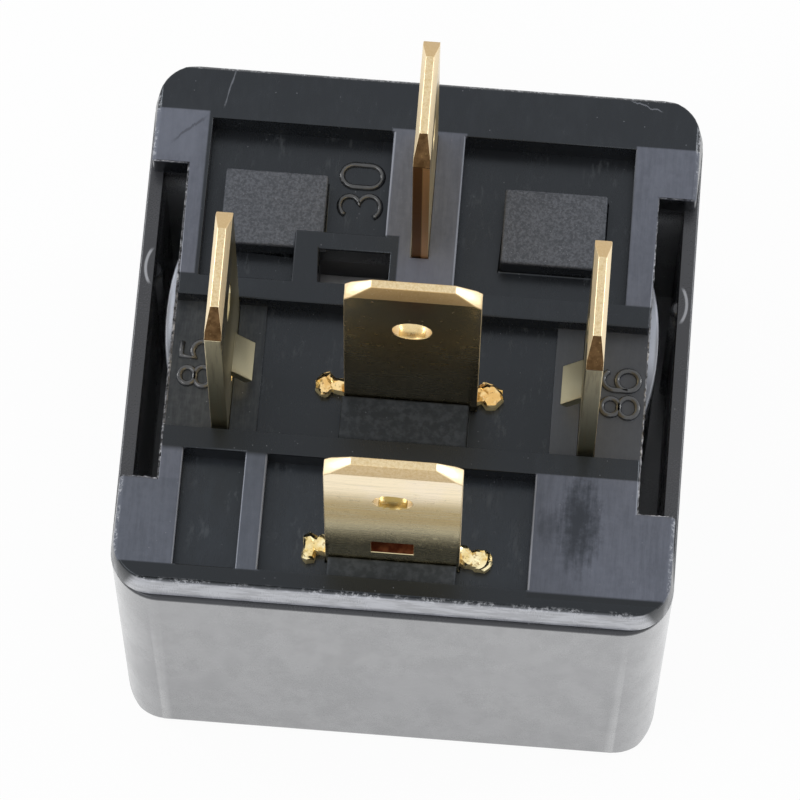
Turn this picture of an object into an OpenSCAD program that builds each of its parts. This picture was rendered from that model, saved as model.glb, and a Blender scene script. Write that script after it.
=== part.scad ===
// Change-over relay for road vehicles, with five blade terminals.
// The closed end of the cover lies on z = 0, the blades point up along +Z,
// X is across the relay and the load terminal with its blade turned sideways is at the back, +Y.

/* [Cover] */
// Width of the cover across X
case_w = 27; // [25:0.1:31]
// Depth of the cover along Y
case_d = 27.5; // [26.5:0.1:31]
// Height of the cover from its closed end to its rim
case_h = 21.3; // [20:0.1:30]
// Thickness of the front and back walls
wall = 0.9; // [0.6:0.05:1.1]
// Thickness of the side walls
side_wall = 0.75; // [0.5:0.05:1]
// Thickness of the closed end
floor_t = 1.1; // [0.8:0.05:1.6]
// Radius of the upright corners
corner_r = 2.5; // [1.5:0.1:4]
// Radius of the edges round the closed end
edge_r = 1.2; // [0.5:0.1:2]

/* [Bracket pockets] */
// Length of each side pocket along Y
pocket_len = 16.3; // [12:0.1:17]
// Width of each side pocket
pocket_gap = 1.3; // [1:0.05:1.6]
// Depth of each side pocket below the rim
pocket_depth = 12; // [5:0.5:13]
// Thickness of the walls between pocket and cavity
pocket_wall = 0.8; // [0.6:0.05:1]
// Swelling of the inner pocket wall round the coil
bulge_out = 0.55; // [0.3:0.05:0.7]
// Radius of the detent rib in each pocket
detent_r = 0.42; // [0.2:0.02:0.6]
// Place of the detent rib along Y
detent_y = 3.2; // [-4:0.1:5]

/* [Header] */
// Height of the header flange above the rim of the cover
flange_t = 1.6; // [1.5:0.05:2.4]
// Depth of the header plug inside the cover
plug_t = 2; // [1.8:0.05:3]
// Ledge of the cover left bare at each side of the flange
ledge_x = 0.2; // [0.05:0.05:0.6]
// Ledge of the cover left bare in front of and behind the flange
ledge_y = 0.45; // [0.05:0.05:0.8]
// Radius of the flange corners
flange_r = 2; // [1:0.1:3]
// Chamfer round the top edge of the flange
flange_chamfer = 0.2; // [0.1:0.05:0.4]
// Clearance between header plug and cover
plug_gap = 0.1; // [0.05:0.01:0.2]
// Clearance round each blade in its slot
slot_gap = 0.03; // [0.02:0.01:0.1]

/* [Header relief] */
// Depth of the floor behind the rear rib
rear_depth = 1.5; // [0.8:0.05:1.5]
// Depth of the floor in front of the rear rib
front_depth = 1.25; // [0.8:0.05:1.4]
// Depth of the two raised steps at the coil terminals
step_depth = 0.95; // [0.4:0.05:1.2]
// Width of the steps at the coil terminals
step_w = 4.4; // [3:0.1:4.6]
// Depth of the grained pads
pad_depth = 0.2; // [0:0.05:0.6]
// Width of each grained pad
pad_w = 5; // [3:0.1:5.4]
// Length of each grained pad
pad_len = 3.85; // [2:0.05:4.6]
// Distance of the left grained pad from the middle
pad_left = 7.15; // [6.9:0.05:7.3]
// Distance of the right grained pad from the middle
pad_right = 6.5; // [6.3:0.05:7.1]
// Place of the grained pads along Y
pad_y = 6.15; // [5.5:0.05:6.6]
// Width of the two cross ribs
rib_w = 1.1; // [0.6:0.05:1.6]
// Place of the rear cross rib along Y
rear_rib_y = 1.85; // [1.5:0.05:2]
// Place of the front cross rib along Y
front_rib_y = -5.98; // [-6.3:0.05:-5.5]
// Width of the band left along the back of the header
back_band = 2.75; // [1.6:0.05:2.8]
// Width of the band left along the front of the header
front_band = 0.95; // [0.6:0.05:1.2]
// Width of the narrow strips along the side notches
side_strip = 0.95; // [0.5:0.05:1.2]
// Width of the front left corner block
left_block = 2.9; // [2:0.05:3.2]
// Width of the front right corner block
right_block = 6.8; // [5:0.05:7]
// Width of the small rib beside the front left recess
small_rib_w = 1.05; // [0.6:0.05:1.4]
// Place of the small rib along X
small_rib_x = -6.88; // [-7.4:0.02:-6.2]
// Width of the boss round the sideways blade
boss_w = 3.5; // [2.4:0.05:3.6]
// Width of the opening behind the rear rib
window_w = 3.4; // [2:0.05:3.6]
// Distance of its middle to the left of the middle of the header
window_left = 3.05; // [2.8:0.05:3.1]
// Length of the opening behind the rear rib
window_len = 1.75; // [1.2:0.05:2.2]
// Width of the raised frame round it
window_frame = 0.9; // [0.5:0.05:1]
// Width of the blocks in front of the two middle blades
block_w = 6.15; // [4:0.05:6.2]
// Depth of the tops of those blocks
block_depth = 0.25; // [0:0.05:0.6]

/* [Blades] */
// Width of the blades
blade_w = 6.4; // [5.6:0.1:6.5]
// Thickness of every blade
blade_t = 0.8; // [0.6:0.05:0.9]
// Height of the blade tips above the header
blade_len = 12.7; // [9:0.1:15]
// Height of the cut corners at the tip
tip_h = 1.16; // [0.6:0.02:1.6]
// Width of the cut corners at the blade tips
tip_w = 1.25; // [0.6:0.01:1.5]
// Height of the lead-in bevel on both faces of the tip
bevel_h = 0.9; // [0.4:0.05:1.4]
// How far the bevel thins each face of the tip
bevel_t = 0.2; // [0.1:0.01:0.28]
// Diameter of the detent hole in each blade
hole_d = 1.85; // [1.4:0.05:2.2]
// Distance of the blade hole below the tip
hole_drop = 4.45; // [3:0.05:5]
// Place of terminal 30 along X
x_30 = 0.1; // [-0.3:0.05:0.2]
// Distance of terminal 30 from the back of the cover
inset_30 = 6.45; // [6.4:0.05:6.5]
// Distance of terminals 85 and 86 inside the faces of the side notches
tab_inset = 2.65; // [2.55:0.05:2.95]
// Distance of the coil terminals behind terminal 87a
tab_behind = 0.73; // [0.6:0.01:0.9]
// Distance of terminal 87 from the front of the cover
inset_87 = 2.85; // [2.7:0.05:2.95]
// Distance of terminal 87a behind terminal 87
pitch_87a = 8.14; // [8.1:0.02:8.3]
// Distance of terminal 87a to the right of the middle
x_87a = 0.23; // [0:0.01:0.3]
// Lean of the blade of terminal 87a towards the back, in degrees
lean_87a = 2.3; // [0:0.1:2.5]
// Width of each holding tongue
tongue_w = 2; // [1.4:0.05:2.6]
// Height of the windows of the holding tongues
tongue_h = 1.6; // [1.2:0.1:2]
// Reach of the holding tongues out of the blade
tongue_flare = 1.05; // [0.6:0.05:1.2]
// Thickness of the holding tongues
tongue_t = 0.45; // [0.3:0.01:0.6]
// Length of the neck of each staked lug
lug_neck = 0.5; // [0.3:0.02:0.7]
// Height of the staked lugs
lug_h = 0.62; // [0.4:0.02:0.9]
// Radius of the flattened head of each lug
lug_r = 0.55; // [0.35:0.01:0.7]

/* [Magnet] */
// Room between the front wall and the bobbin
front_room = 5.9; // [5.6:0.05:6.4]
// How far the bobbin flanges stand out past the winding
flange_lip = 0.6; // [0.3:0.05:0.7]
// Thickness of the bobbin flanges
bobbin_flange_t = 0.8; // [0.5:0.05:1.2]
// Wall of the bobbin tube
bobbin_wall = 0.7; // [0.4:0.05:1]
// Thickness of the tape round the winding
tape_t = 0.15; // [0.1:0.01:0.3]
// Radius of the iron core
core_r = 3; // [2.5:0.1:3.5]
// Radius of the pole head
pole_r = 4.6; // [3.8:0.1:5.5]
// Thickness of the pole head
pole_t = 1.1; // [0.8:0.05:1.5]
// Radius of the core's riveted end
tenon_r = 2.1; // [1.5:0.1:2.4]
// Thickness of the yoke
yoke_t = 1.5; // [1:0.05:1.6]
// Width of the yoke
yoke_w = 13; // [11:0.1:14]
// Clearance between the bobbin flanges and the yoke
yoke_gap = 0.4; // [0.3:0.05:0.6]
// Room between the yoke and the back wall
yoke_back = 2.3; // [1.7:0.05:2.4]
// Diameter of the coil wire ends
wire_d = 0.3; // [0.2:0.02:0.4]
// Turns of each wire end round its post
wire_turns = 3; // [2:1:4]
// Distance of the bobbin's wire notches from the middle along X
lead_x = 4.6; // [3.5:0.1:5]
// Length of the wire posts below the header
post_len = 3.1; // [2:0.1:4]

/* [Contacts] */
// Angle by which the armature stands open
open_angle = 2.8; // [2:0.1:3.2]
// Thickness of the armature
armature_t = 1.3; // [1:0.05:1.5]
// Width of the armature
armature_w = 11; // [10:0.1:12.4]
// Thickness of the contact spring
spring_t = 0.22; // [0.15:0.01:0.3]
// Width of the contact spring
spring_w = 8; // [6:0.1:9]
// Width of the tongue of the spring that carries the contact
spring_tip_w = 4.4; // [3.8:0.1:5]
// Length of the spring's leg on the back of the yoke
spring_leg = 5.5; // [4:0.1:7]
// Distance of the contacts behind terminal 87
contact_back = 2; // [1.8:0.05:2.4]
// Radius of the contact heads
contact_r = 1.5; // [1.2:0.05:1.8]
// Height of the contact heads
contact_h = 0.5; // [0.35:0.05:0.7]
// Radius of the contact shanks
shank_r = 0.7; // [0.5:0.05:0.9]
// Width of the leg of terminal 87a inside the relay
leg_w = 4; // [3:0.1:4.4]
// Clearance between closed contacts and at the pole
touch_gap = 0.02; // [0.01:0.01:0.05]
// Clearance of a riveted shank in its hole
stake_gap = 0.02; // [0.01:0.01:0.05]

/* [Rivets] */
// Distance between the two rivets of each pair
stud_pitch = 5.4; // [4.6:0.1:5.4]
// Distance of the armature's rivets from the hinge line
stud_back = 7.6; // [6:0.1:9]
// Radius of the rivets in the spring
rivet_r = 0.8; // [0.5:0.05:0.9]
// Radius of their heads
rivet_head_r = 1.3; // [1.1:0.05:1.3]
// Height of their heads
rivet_head_h = 0.45; // [0.3:0.05:0.5]
// Radius of the rivet in the foot of terminal 30
foot_rivet_r = 1; // [0.7:0.05:1.1]
// Radius of its head
foot_head_r = 1.7; // [1.4:0.05:1.8]
// Height of its head
foot_head_h = 0.5; // [0.3:0.05:0.5]

/* [Hidden] */
$fn = 48;

// Colours
black_plastic = [0.13, 0.135, 0.15];
header_plastic = [0.19, 0.2, 0.23];
gold_brass = [0.83, 0.66, 0.34];
zinc_steel = [0.66, 0.67, 0.68];
iron = [0.52, 0.53, 0.55];
copper_wire = [0.66, 0.32, 0.14];
bobbin_plastic = [0.82, 0.8, 0.72];
tape_amber = [0.72, 0.52, 0.16];
spring_bronze = [0.74, 0.5, 0.3];
silver = [0.84, 0.84, 0.82];

// Cutting tools run past the faces they open by this much
past = 1;

// Cover: faces of its cavity and of its side pockets
cavity_x = case_w / 2 - side_wall;
cavity_y = case_d / 2 - wall;
pocket_out = cavity_x;
pocket_in = pocket_out - pocket_gap;
pocket_back = pocket_in - pocket_wall;
pocket_y = pocket_len / 2;
pocket_z = case_h - pocket_depth;
// The detent ribs stop this far below the rim
detent_drop = 0.4;

// Header levels and outline
top_z = case_h + flange_t;
under_z = case_h - plug_t;
rear_z = top_z - rear_depth;
front_z = top_z - front_depth;
flange_w = case_w - 2 * ledge_x;
flange_d = case_d - 2 * ledge_y;
edge_x = flange_w / 2;
edge_y = flange_d / 2;
inner_x = pocket_in - side_strip;
strip_more = 0.3;
window_side = 1.25;
window_x = -window_left;
rear_rib_front = rear_rib_y - rib_w / 2;
rear_rib_back = rear_rib_y + rib_w / 2;
front_rib_front = front_rib_y - rib_w / 2;
front_rib_back = front_rib_y + rib_w / 2;
tip_z = top_z + blade_len;
boss_x0 = x_30 - boss_w / 2;
x_coil_tab = pocket_in - tab_inset;
y_30 = case_d / 2 - inset_30;
y_87 = inset_87 - case_d / 2;
y_87a = y_87 + pitch_87a;
y_coil_tab = y_87a + tab_behind;

// Yoke and coil, set from the back and front walls
yoke_out_y = cavity_y - yoke_back;
bobbin_back = yoke_out_y - yoke_t - yoke_gap;
bobbin_front = front_room - cavity_y;
bobbin_r = (bobbin_back - bobbin_front) / 2;
coil_y = (bobbin_back + bobbin_front) / 2;
coil_r = bobbin_r - flange_lip;
yoke_mid_y = yoke_out_y - yoke_t / 2;
yoke_under = under_z - yoke_t;
yoke_nose = 1.8;
yoke_front = coil_y - tenon_r - yoke_nose;
yoke_bend = yoke_t / 2 + yoke_gap - 0.05;
bulge_r = pocket_in + bulge_out;
// Chamfers of the pole face and of the rivet heads
pole_edge = 0.3;
head_edge = 0.2;

// Armature and contacts: the hinge line lies on the yoke's outer edge
contact_y = y_87 + contact_back;
lever = yoke_out_y - contact_y;
strip_gap = 0.35;
hinge_gap = 0.03;
arm_low = -hinge_gap - armature_t;
nc_strip_z = floor_t + strip_gap;
nc_face_z = nc_strip_z + blade_t + contact_h;
hinge_z = round(1000 * (nc_face_z + touch_gap + (contact_h + spring_t - arm_low) * cos(open_angle)
    + (lever + contact_r) * sin(open_angle))) / 1000;
no_face_z = hinge_z + arm_low + contact_h + touch_gap;
no_strip_z = no_face_z + contact_h;
pole_z = hinge_z + touch_gap;
flange_low_z = pole_z + pole_t;
stud_x = stud_pitch / 2;

// Armature: reach past the pole, tapered front, and the thinned end that rests on the yoke
arm_past_pole = 1.3;
armature_front = yoke_out_y - coil_y + pole_r + arm_past_pole;
arm_taper = 3;
arm_back = 0.1;
arm_lip = 0.5;
arm_lip_len = 0.9;

// Contact spring: reach past its contact, bend round the hinge, the height of its rivets on the
// yoke, and the metal left beside the window over the bend
spring_past = 0.5;
spring_front = lever + contact_r + spring_past;
neck_len = 2;
neck_start = 1;
spring_turn = 0.6;
stud_margin = 1.4;
yoke_stud = spring_leg - stud_margin;
spring_band = 2;

// Clearances of the winding parts, and the notches in the upper flange where the wire leaves
core_gap = 0.08;
wind_gap = 0.03;
tube_in = core_r + core_gap;
tube_out = tube_in + bobbin_wall;
wind_len = yoke_under - flange_low_z - 2 * (bobbin_flange_t + wind_gap);
notch_half = 0.4;
notch_len = 2.9;
lead_turn = 1;
lead_in = notch_len - bobbin_r;
lead_out = lead_turn - bobbin_r;

// Terminal strips inside the relay
strip_bend = blade_t;
strip_lap = 0.2;
no_strip_w = 5;
channel_z = under_z + 0.3;
channel_gap = 0.1;
leg_side = 1.7;
leg_x0 = no_strip_w / 2 + leg_side;
leg_x1 = leg_x0 + leg_w;
leg_y = contact_y + contact_r / 2 + 0.05;
// Staked lugs: upright side below their domed top, and the radius of its flat
lug_side = lug_h * 0.7;
lug_top_r = lug_r * 0.7;
foot_w = 5.2;
foot_x = 3.3;
post_w = 1;
post_front = 1.6;
post_y = y_coil_tab - post_front;
post_bottom = under_z - post_len;
wrap_low = 0.5;
// Metal left round a fixed contact, and the arm that joins the blade of 87a to its leg
contact_margin = 0.3;
joint_len = 2.2;

// Holding tongues: root inside the blade, its bend, and the height of the window in blade 87
tongue_root = 0.2;
tongue_turn = 0.7;
window_low = 0.7;

// ---- shared shapes ----

// Rectangle with round corners, centred
module round_rect(w, d, r) {
    square([w - 2 * r, d], center = true);
    square([w, d - 2 * r], center = true);
    for (x = [-1, 1], y = [-1, 1])
        translate([x * (w / 2 - r), y * (d / 2 - r)]) circle(r);
}

// Upright section with round lower corners
module round_foot(w, h, r) {
    translate([-w / 2, r]) square([w, h - r]);
    translate([-w / 2 + r, 0]) square([w - 2 * r, h]);
    for (x = [-1, 1]) translate([x * (w / 2 - r), r]) circle(r);
}

// Upright section with chamfered upper corners
module cut_top(w, h, c) {
    polygon([[-w / 2, 0], [w / 2, 0], [w / 2, h - c], [w / 2 - c, h],
        [-w / 2 + c, h], [-w / 2, h - c]]);
}

// Extrudes a section drawn in X and Z along Y, centred
module along_y(len) {
    rotate([90, 0, 0]) linear_extrude(len, center = true) children();
}

// Extrudes a section drawn in Y and Z along X, centred
module along_x(len) {
    rotate([90, 0, 90]) linear_extrude(len, center = true) children();
}

// Box between two corners
module span(x, y, z) {
    translate([x[0], y[0], z[0]]) cube([x[1] - x[0], y[1] - y[0], z[1] - z[0]]);
}

function unit(v) = v / norm(v);
function turn_at(p, i) = acos(unit(p[i] - p[i - 1]) * unit(p[i + 1] - p[i]));
function trim_at(p, i, r) = (i == 0 || i == len(p) - 1) ? 0 : r * tan(turn_at(p, i) / 2);

// Section of a bent sheet: path gives the corners of its middle line, r its bend radius there
module sheet(path, t, r) {
    n = len(path);
    for (i = [0 : n - 2]) {
        dir = unit(path[i + 1] - path[i]);
        from = path[i] + dir * trim_at(path, i, r);
        to = path[i + 1] - dir * trim_at(path, i + 1, r);
        translate(from) rotate(atan2(dir[1], dir[0]))
            translate([0, -t / 2]) square([norm(to - from), t]);
    }
    for (i = [1 : n - 2]) sheet_bend(path[i], unit(path[i - 1] - path[i]),
        unit(path[i + 1] - path[i]), trim_at(path, i, r), t, r);
}

// One bend of the sheet: a ring sector between the two straight stretches
module sheet_bend(corner, back, ahead, trim, t, r) {
    a = corner + back * trim;
    b = corner + ahead * trim;
    centre = corner + unit(back + ahead) * norm([trim, r]);
    intersection() {
        translate(centre) difference() {
            circle(r + t / 2);
            circle(r - t / 2);
        }
        polygon([centre, centre + (a - centre) * 3, centre + (a + b - 2 * centre) * 3,
            centre + (b - centre) * 3]);
    }
}

// Flat-headed rivet: head from z = 0 down, shank upwards
module rivet(head_r, head_h, shank, shank_h) {
    rotate_extrude()
        polygon([[0, -head_h], [head_r - head_edge, -head_h], [head_r, -head_h + head_edge],
            [head_r, 0], [shank, 0], [shank, shank_h], [0, shank_h]]);
}

// ---- cover ----

module pocket_block() {
    span([pocket_back, case_w / 2 - side_wall / 2], [-pocket_y - pocket_wall, pocket_y + pocket_wall],
        [pocket_z - pocket_wall, case_h]);
}

// Space of one pocket, with the inner wall swelling round the coil
module pocket_space() {
    difference() {
        span([pocket_in, pocket_out], [-pocket_y, pocket_y], [pocket_z, case_h + past]);
        translate([0, coil_y, pocket_z - past])
            cylinder(r = bulge_r, h = pocket_depth + 3 * past, $fn = 96);
    }
}

module cover() {
    color(black_plastic) {
        difference() {
            union() {
                difference() {
                    intersection() {
                        linear_extrude(case_h) round_rect(case_w, case_d, corner_r);
                        along_y(case_d) round_foot(case_w, case_h, edge_r);
                        along_x(case_w) round_foot(case_d, case_h, edge_r);
                    }
                    translate([0, 0, floor_t]) linear_extrude(case_h)
                        round_rect(2 * cavity_x, 2 * cavity_y, corner_r - wall);
                }
                for (s = [0, 1]) mirror([s, 0, 0]) pocket_block();
            }
            for (s = [0, 1]) mirror([s, 0, 0]) pocket_space();
        }
        for (s = [-1, 1]) translate([s * (pocket_out + detent_r / 4), detent_y, pocket_z])
            cylinder(r = detent_r, h = pocket_depth - detent_drop);
    }
}

// ---- header ----

module flange_body() {
    intersection() {
        linear_extrude(top_z) round_rect(flange_w, flange_d, flange_r);
        along_y(case_d) cut_top(flange_w, top_z, flange_chamfer);
        along_x(case_w) cut_top(flange_d, top_z, flange_chamfer);
        span([-case_w, case_w], [-case_d, case_d], [case_h, top_z]);
    }
}

module plug_body() {
    translate([0, 0, under_z]) linear_extrude(plug_t)
        round_rect(2 * (cavity_x - plug_gap), 2 * (cavity_y - plug_gap), corner_r - wall);
}

// Room for the pockets: flush with their inner wall in the flange, clear of their blocks below
module side_notch() {
    span([pocket_in, case_w], [-pocket_y, pocket_y], [case_h, top_z + past]);
    span([pocket_back - plug_gap, case_w],
        [-pocket_y - pocket_wall - plug_gap, pocket_y + pocket_wall + plug_gap],
        [under_z - past, case_h]);
}

// Recesses between the bands, strips, ribs and blocks of the top face
module relief() {
    top = top_z + past;
    span([-inner_x, inner_x - strip_more], [rear_rib_back, edge_y - back_band], [rear_z, top]);
    for (s = [-1, 1]) {
        a = s * pocket_in;
        b = s * (pocket_in - step_w);
        span([min(a, b) - (s < 0 ? past : 0), max(a, b) + (s > 0 ? past : 0)],
            [front_rib_back, rear_rib_front], [top_z - step_depth, top]);
    }
    span([-pocket_in + step_w, pocket_in - step_w], [front_rib_back, rear_rib_front], [front_z, top]);
    span([-edge_x + left_block, small_rib_x - small_rib_w / 2],
        [-edge_y + front_band, front_rib_front], [front_z, top]);
    span([small_rib_x + small_rib_w / 2, edge_x - right_block],
        [-edge_y + front_band, front_rib_front], [front_z, top]);
}

// Everything that stands up from the recess floors
module raised() {
    span([boss_x0, boss_x0 + boss_w], [rear_rib_back, edge_y - back_band], [rear_z, top_z]);
    span([window_x - window_w / 2 - window_side, boss_x0],
        [rear_rib_back, rear_rib_back + window_len + window_frame], [rear_z, top_z]);
    for (x = [-pad_left, pad_right]) span([x - pad_w / 2, x + pad_w / 2],
        [pad_y - pad_len / 2, pad_y + pad_len / 2], [rear_z, top_z - pad_depth]);
    span([-block_w / 2, block_w / 2], [front_rib_back, y_87a - blade_t / 2 - slot_gap],
        [front_z, top_z - block_depth]);
    span([-block_w / 2, block_w / 2], [-edge_y + front_band, y_87 - blade_t / 2 - slot_gap],
        [front_z, top_z - block_depth]);
}

module slot(x, y, w, d) {
    span([x - w / 2 - slot_gap, x + w / 2 + slot_gap], [y - d / 2 - slot_gap, y + d / 2 + slot_gap],
        [under_z - past, top_z + past]);
}

// Hollows in the underside for the terminal strips, their bends and the rivet
module underside() {
    span([x_30 - blade_t / 2 - channel_gap, foot_x + foot_w / 2 + channel_gap],
        [y_30 - blade_w / 2 - channel_gap, y_30 + blade_w / 2 + channel_gap],
        [under_z - past, under_z + blade_t + channel_gap]);
    span([x_30 - blade_t / 2 - channel_gap, x_30 + strip_bend + channel_gap],
        [y_30 - blade_w / 2 - channel_gap, y_30 + blade_w / 2 + channel_gap],
        [under_z - past, under_z + blade_t / 2 + strip_bend + channel_gap]);
    translate([foot_x, y_30, under_z])
        cylinder(r = foot_head_r + 2 * channel_gap, h = blade_t + foot_head_h + channel_gap);
    span([x_87a - blade_w / 2 - channel_gap, leg_x1 + channel_gap],
        [leg_y - blade_t / 2 - channel_gap, y_87a + blade_t / 2 + channel_gap],
        [under_z - past, channel_z + blade_t + channel_gap]);
    span([x_87a - blade_w / 2 - channel_gap, x_87a + blade_w / 2 + channel_gap],
        [y_87a - strip_bend - channel_gap, y_87a + blade_t / 2 + channel_gap],
        [under_z - past, channel_z + blade_t / 2 + strip_bend + channel_gap]);
}

module header() {
    color(header_plastic) difference() {
        union() {
            difference() {
                union() {
                    flange_body();
                    plug_body();
                }
                relief();
            }
            raised();
        }
        for (s = [0, 1]) mirror([s, 0, 0]) side_notch();
        slot(x_30, y_30, blade_t, blade_w);
        for (s = [-1, 1]) slot(s * x_coil_tab, y_coil_tab, blade_t, blade_w);
        slot(0, y_87, blade_w, blade_t);
        slot(x_87a, y_87a, blade_w, blade_t);
        span([window_x - window_w / 2, window_x + window_w / 2],
            [rear_rib_back, rear_rib_back + window_len],
            [under_z - past, top_z + past]);
        underside();
    }
}

// ---- terminals ----

// Blade with cut corners and a bevelled tip, standing on z = low, its width along X. Above the
// header it leans towards +Y by the angle lean.
module blade(low, lean = 0) {
    h = tip_z - low;
    base = top_z - low;
    slope = tan(lean);
    side = blade_t / 2;
    tip = side - bevel_t;
    at_bevel = slope * (h - bevel_h - base);
    at_tip = slope * (h - base);
    difference() {
        intersection() {
            translate([0, 0, low]) along_y(blade_t + 2 * past)
                polygon([[-blade_w / 2, 0], [blade_w / 2, 0], [blade_w / 2, h - tip_h],
                    [blade_w / 2 - tip_w, h], [-blade_w / 2 + tip_w, h], [-blade_w / 2, h - tip_h]]);
            translate([0, 0, low]) along_x(blade_w)
                polygon(concat([[-side, 0], [side, 0]], lean == 0 ? [] : [[side, base]],
                    [[at_bevel + side, h - bevel_h], [at_tip + tip, h], [at_tip - tip, h],
                        [at_bevel - side, h - bevel_h]], lean == 0 ? [] : [[-side, base]]));
        }
        translate([0, 0, tip_z - hole_drop]) rotate([90, 0, 0])
            cylinder(d = hole_d, h = 4 * blade_t, center = true);
    }
}

// Window punched in a blade, its lower edge at z = low
module tongue_window(low) {
    span([-tongue_w / 2, tongue_w / 2], [-blade_t, blade_t], [low, low + tongue_h]);
}

// Holding tongue bent out of that window towards +Y, hinged at its upper edge
module tongue(low) {
    hinge = low + tongue_h;
    y0 = blade_t / 2 - tongue_t / 2;
    along_x(tongue_w)
        sheet([[y0, hinge + tongue_root], [y0, hinge - tongue_root],
            [y0 + tongue_flare, low + tongue_root / 2]], tongue_t, tongue_turn);
}

// Lugs on both edges of a blade, staked down on the header floor
module staked_lugs() {
    z = front_z + slot_gap;
    for (s = [0, 1]) mirror([s, 0, 0]) {
        span([blade_w / 2 - lug_neck / 2, blade_w / 2 + lug_neck], [-blade_t / 2, blade_t / 2],
            [z, z + lug_h]);
        translate([blade_w / 2 + lug_neck + lug_r / 2, -lug_r / 2, z]) {
            cylinder(r = lug_r, h = lug_side);
            translate([0, 0, lug_side]) cylinder(r1 = lug_r, r2 = lug_top_r, h = lug_h - lug_side);
        }
    }
}

module terminal_30() {
    low = under_z + blade_t / 2 + strip_bend;
    color(gold_brass) difference() {
        union() {
            translate([x_30, y_30, 0]) rotate([0, 0, 90]) blade(low);
            translate([0, y_30, 0]) along_y(blade_w)
                sheet([[x_30, low + strip_lap], [x_30, under_z + blade_t / 2],
                    [foot_x + foot_w / 2, under_z + blade_t / 2]], blade_t, strip_bend);
        }
        translate([foot_x, y_30, under_z - past]) cylinder(r = foot_rivet_r + stake_gap, h = 3 * past);
    }
}

// Coil terminal on the side s of the relay, with a post for the wire below the header
module coil_terminal(s) {
    color(gold_brass) {
        translate([s * x_coil_tab, y_coil_tab, 0]) rotate([0, 0, s * 90]) {
            difference() {
                blade(under_z);
                tongue_window(top_z);
            }
            tongue(top_z);
        }
        translate([s * x_coil_tab, post_y, 0]) span([-blade_t / 2, blade_t / 2],
            [-post_w / 2, post_w / 2], [post_bottom, under_z + blade_t]);
    }
}

module terminal_85() {
    coil_terminal(-1);
}

module terminal_86() {
    coil_terminal(1);
}

module terminal_87() {
    window_z = top_z + window_low;
    color(gold_brass) difference() {
        union() {
            translate([0, y_87, 0]) {
                difference() {
                    blade(under_z);
                    tongue_window(window_z);
                }
                tongue(window_z);
                staked_lugs();
            }
            along_x(no_strip_w)
                sheet([[y_87, under_z + blade_t], [y_87, no_strip_z + blade_t / 2],
                    [contact_y + contact_r + contact_margin, no_strip_z + blade_t / 2]], blade_t, strip_bend);
        }
        translate([0, contact_y, no_strip_z - past])
            cylinder(r = shank_r + stake_gap, h = 2 * past + blade_t);
    }
}

module terminal_87a() {
    mid_z = channel_z + blade_t / 2;
    low = mid_z + strip_bend;
    nc_mid = nc_strip_z + blade_t / 2;
    foot_front = contact_y - contact_r - contact_margin;
    color(gold_brass) difference() {
        union() {
            translate([x_87a, y_87a, 0]) {
                blade(low, lean_87a);
                staked_lugs();
            }
            translate([x_87a, 0, 0]) along_x(blade_w)
                sheet([[y_87a, low + strip_lap], [y_87a, mid_z], [leg_y - blade_t / 2, mid_z]],
                    blade_t, strip_bend);
            translate([(leg_x0 + leg_x1) / 2, 0, 0]) along_x(leg_w)
                sheet([[leg_y + joint_len, mid_z], [leg_y, mid_z], [leg_y, nc_mid], [foot_front, nc_mid]],
                    blade_t, strip_bend * 0.6);
            span([0, leg_x1], [leg_y + strip_bend, leg_y + joint_len], [channel_z, channel_z + blade_t]);
            span([-contact_r - contact_margin, leg_x1], [foot_front, leg_y - strip_bend],
                [nc_strip_z, nc_strip_z + blade_t]);
        }
        translate([0, contact_y, nc_strip_z - past])
            cylinder(r = shank_r + stake_gap, h = 2 * past + blade_t);
    }
}

// ---- magnet ----

module yoke() {
    color(iron) difference() {
        along_x(yoke_w) sheet([[yoke_front, yoke_under + yoke_t / 2], [yoke_mid_y, yoke_under + yoke_t / 2],
            [yoke_mid_y, hinge_z]], yoke_t, yoke_bend);
        translate([0, coil_y, yoke_under - past]) cylinder(r = tenon_r + stake_gap, h = yoke_t + 2 * past);
        translate([foot_x, y_30, yoke_under - past])
            cylinder(r = foot_rivet_r + stake_gap, h = yoke_t + 2 * past);
        for (s = [-1, 1]) translate([s * stud_x, yoke_mid_y, hinge_z + yoke_stud]) rotate([90, 0, 0])
            cylinder(r = rivet_r + stake_gap, h = yoke_t + 2 * past, center = true);
    }
}

module core() {
    color(iron) translate([0, coil_y, 0]) rotate_extrude()
        polygon([[0, pole_z], [pole_r - pole_edge, pole_z], [pole_r, pole_z + pole_edge],
            [pole_r, flange_low_z],
            [core_r, flange_low_z], [core_r, yoke_under], [tenon_r, yoke_under],
            [tenon_r, under_z], [0, under_z]]);
}

module bobbin() {
    color(bobbin_plastic) translate([0, coil_y, 0]) difference() {
        rotate_extrude()
            polygon([[tube_in, flange_low_z], [bobbin_r, flange_low_z],
                [bobbin_r, flange_low_z + bobbin_flange_t], [tube_out, flange_low_z + bobbin_flange_t],
                [tube_out, yoke_under - bobbin_flange_t], [bobbin_r, yoke_under - bobbin_flange_t],
                [bobbin_r, yoke_under], [tube_in, yoke_under]]);
        for (s = [-1, 1]) span([s * lead_x - notch_half, s * lead_x + notch_half],
            [-bobbin_r, lead_in + notch_half],
            [yoke_under - bobbin_flange_t - past, yoke_under + past]);
    }
}

module coil_winding() {
    color(copper_wire) translate([0, coil_y, flange_low_z + bobbin_flange_t + wind_gap]) difference() {
        cylinder(r = coil_r, h = wind_len, $fn = 96);
        translate([0, 0, -past]) cylinder(r = tube_out + wind_gap, h = case_h);
    }
}

module coil_tape() {
    color(tape_amber) translate([0, coil_y, flange_low_z + bobbin_flange_t + wind_gap]) difference() {
        cylinder(r = coil_r + tape_t, h = wind_len, $fn = 96);
        translate([0, 0, -past]) cylinder(r = coil_r, h = case_h, $fn = 96);
    }
}

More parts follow.
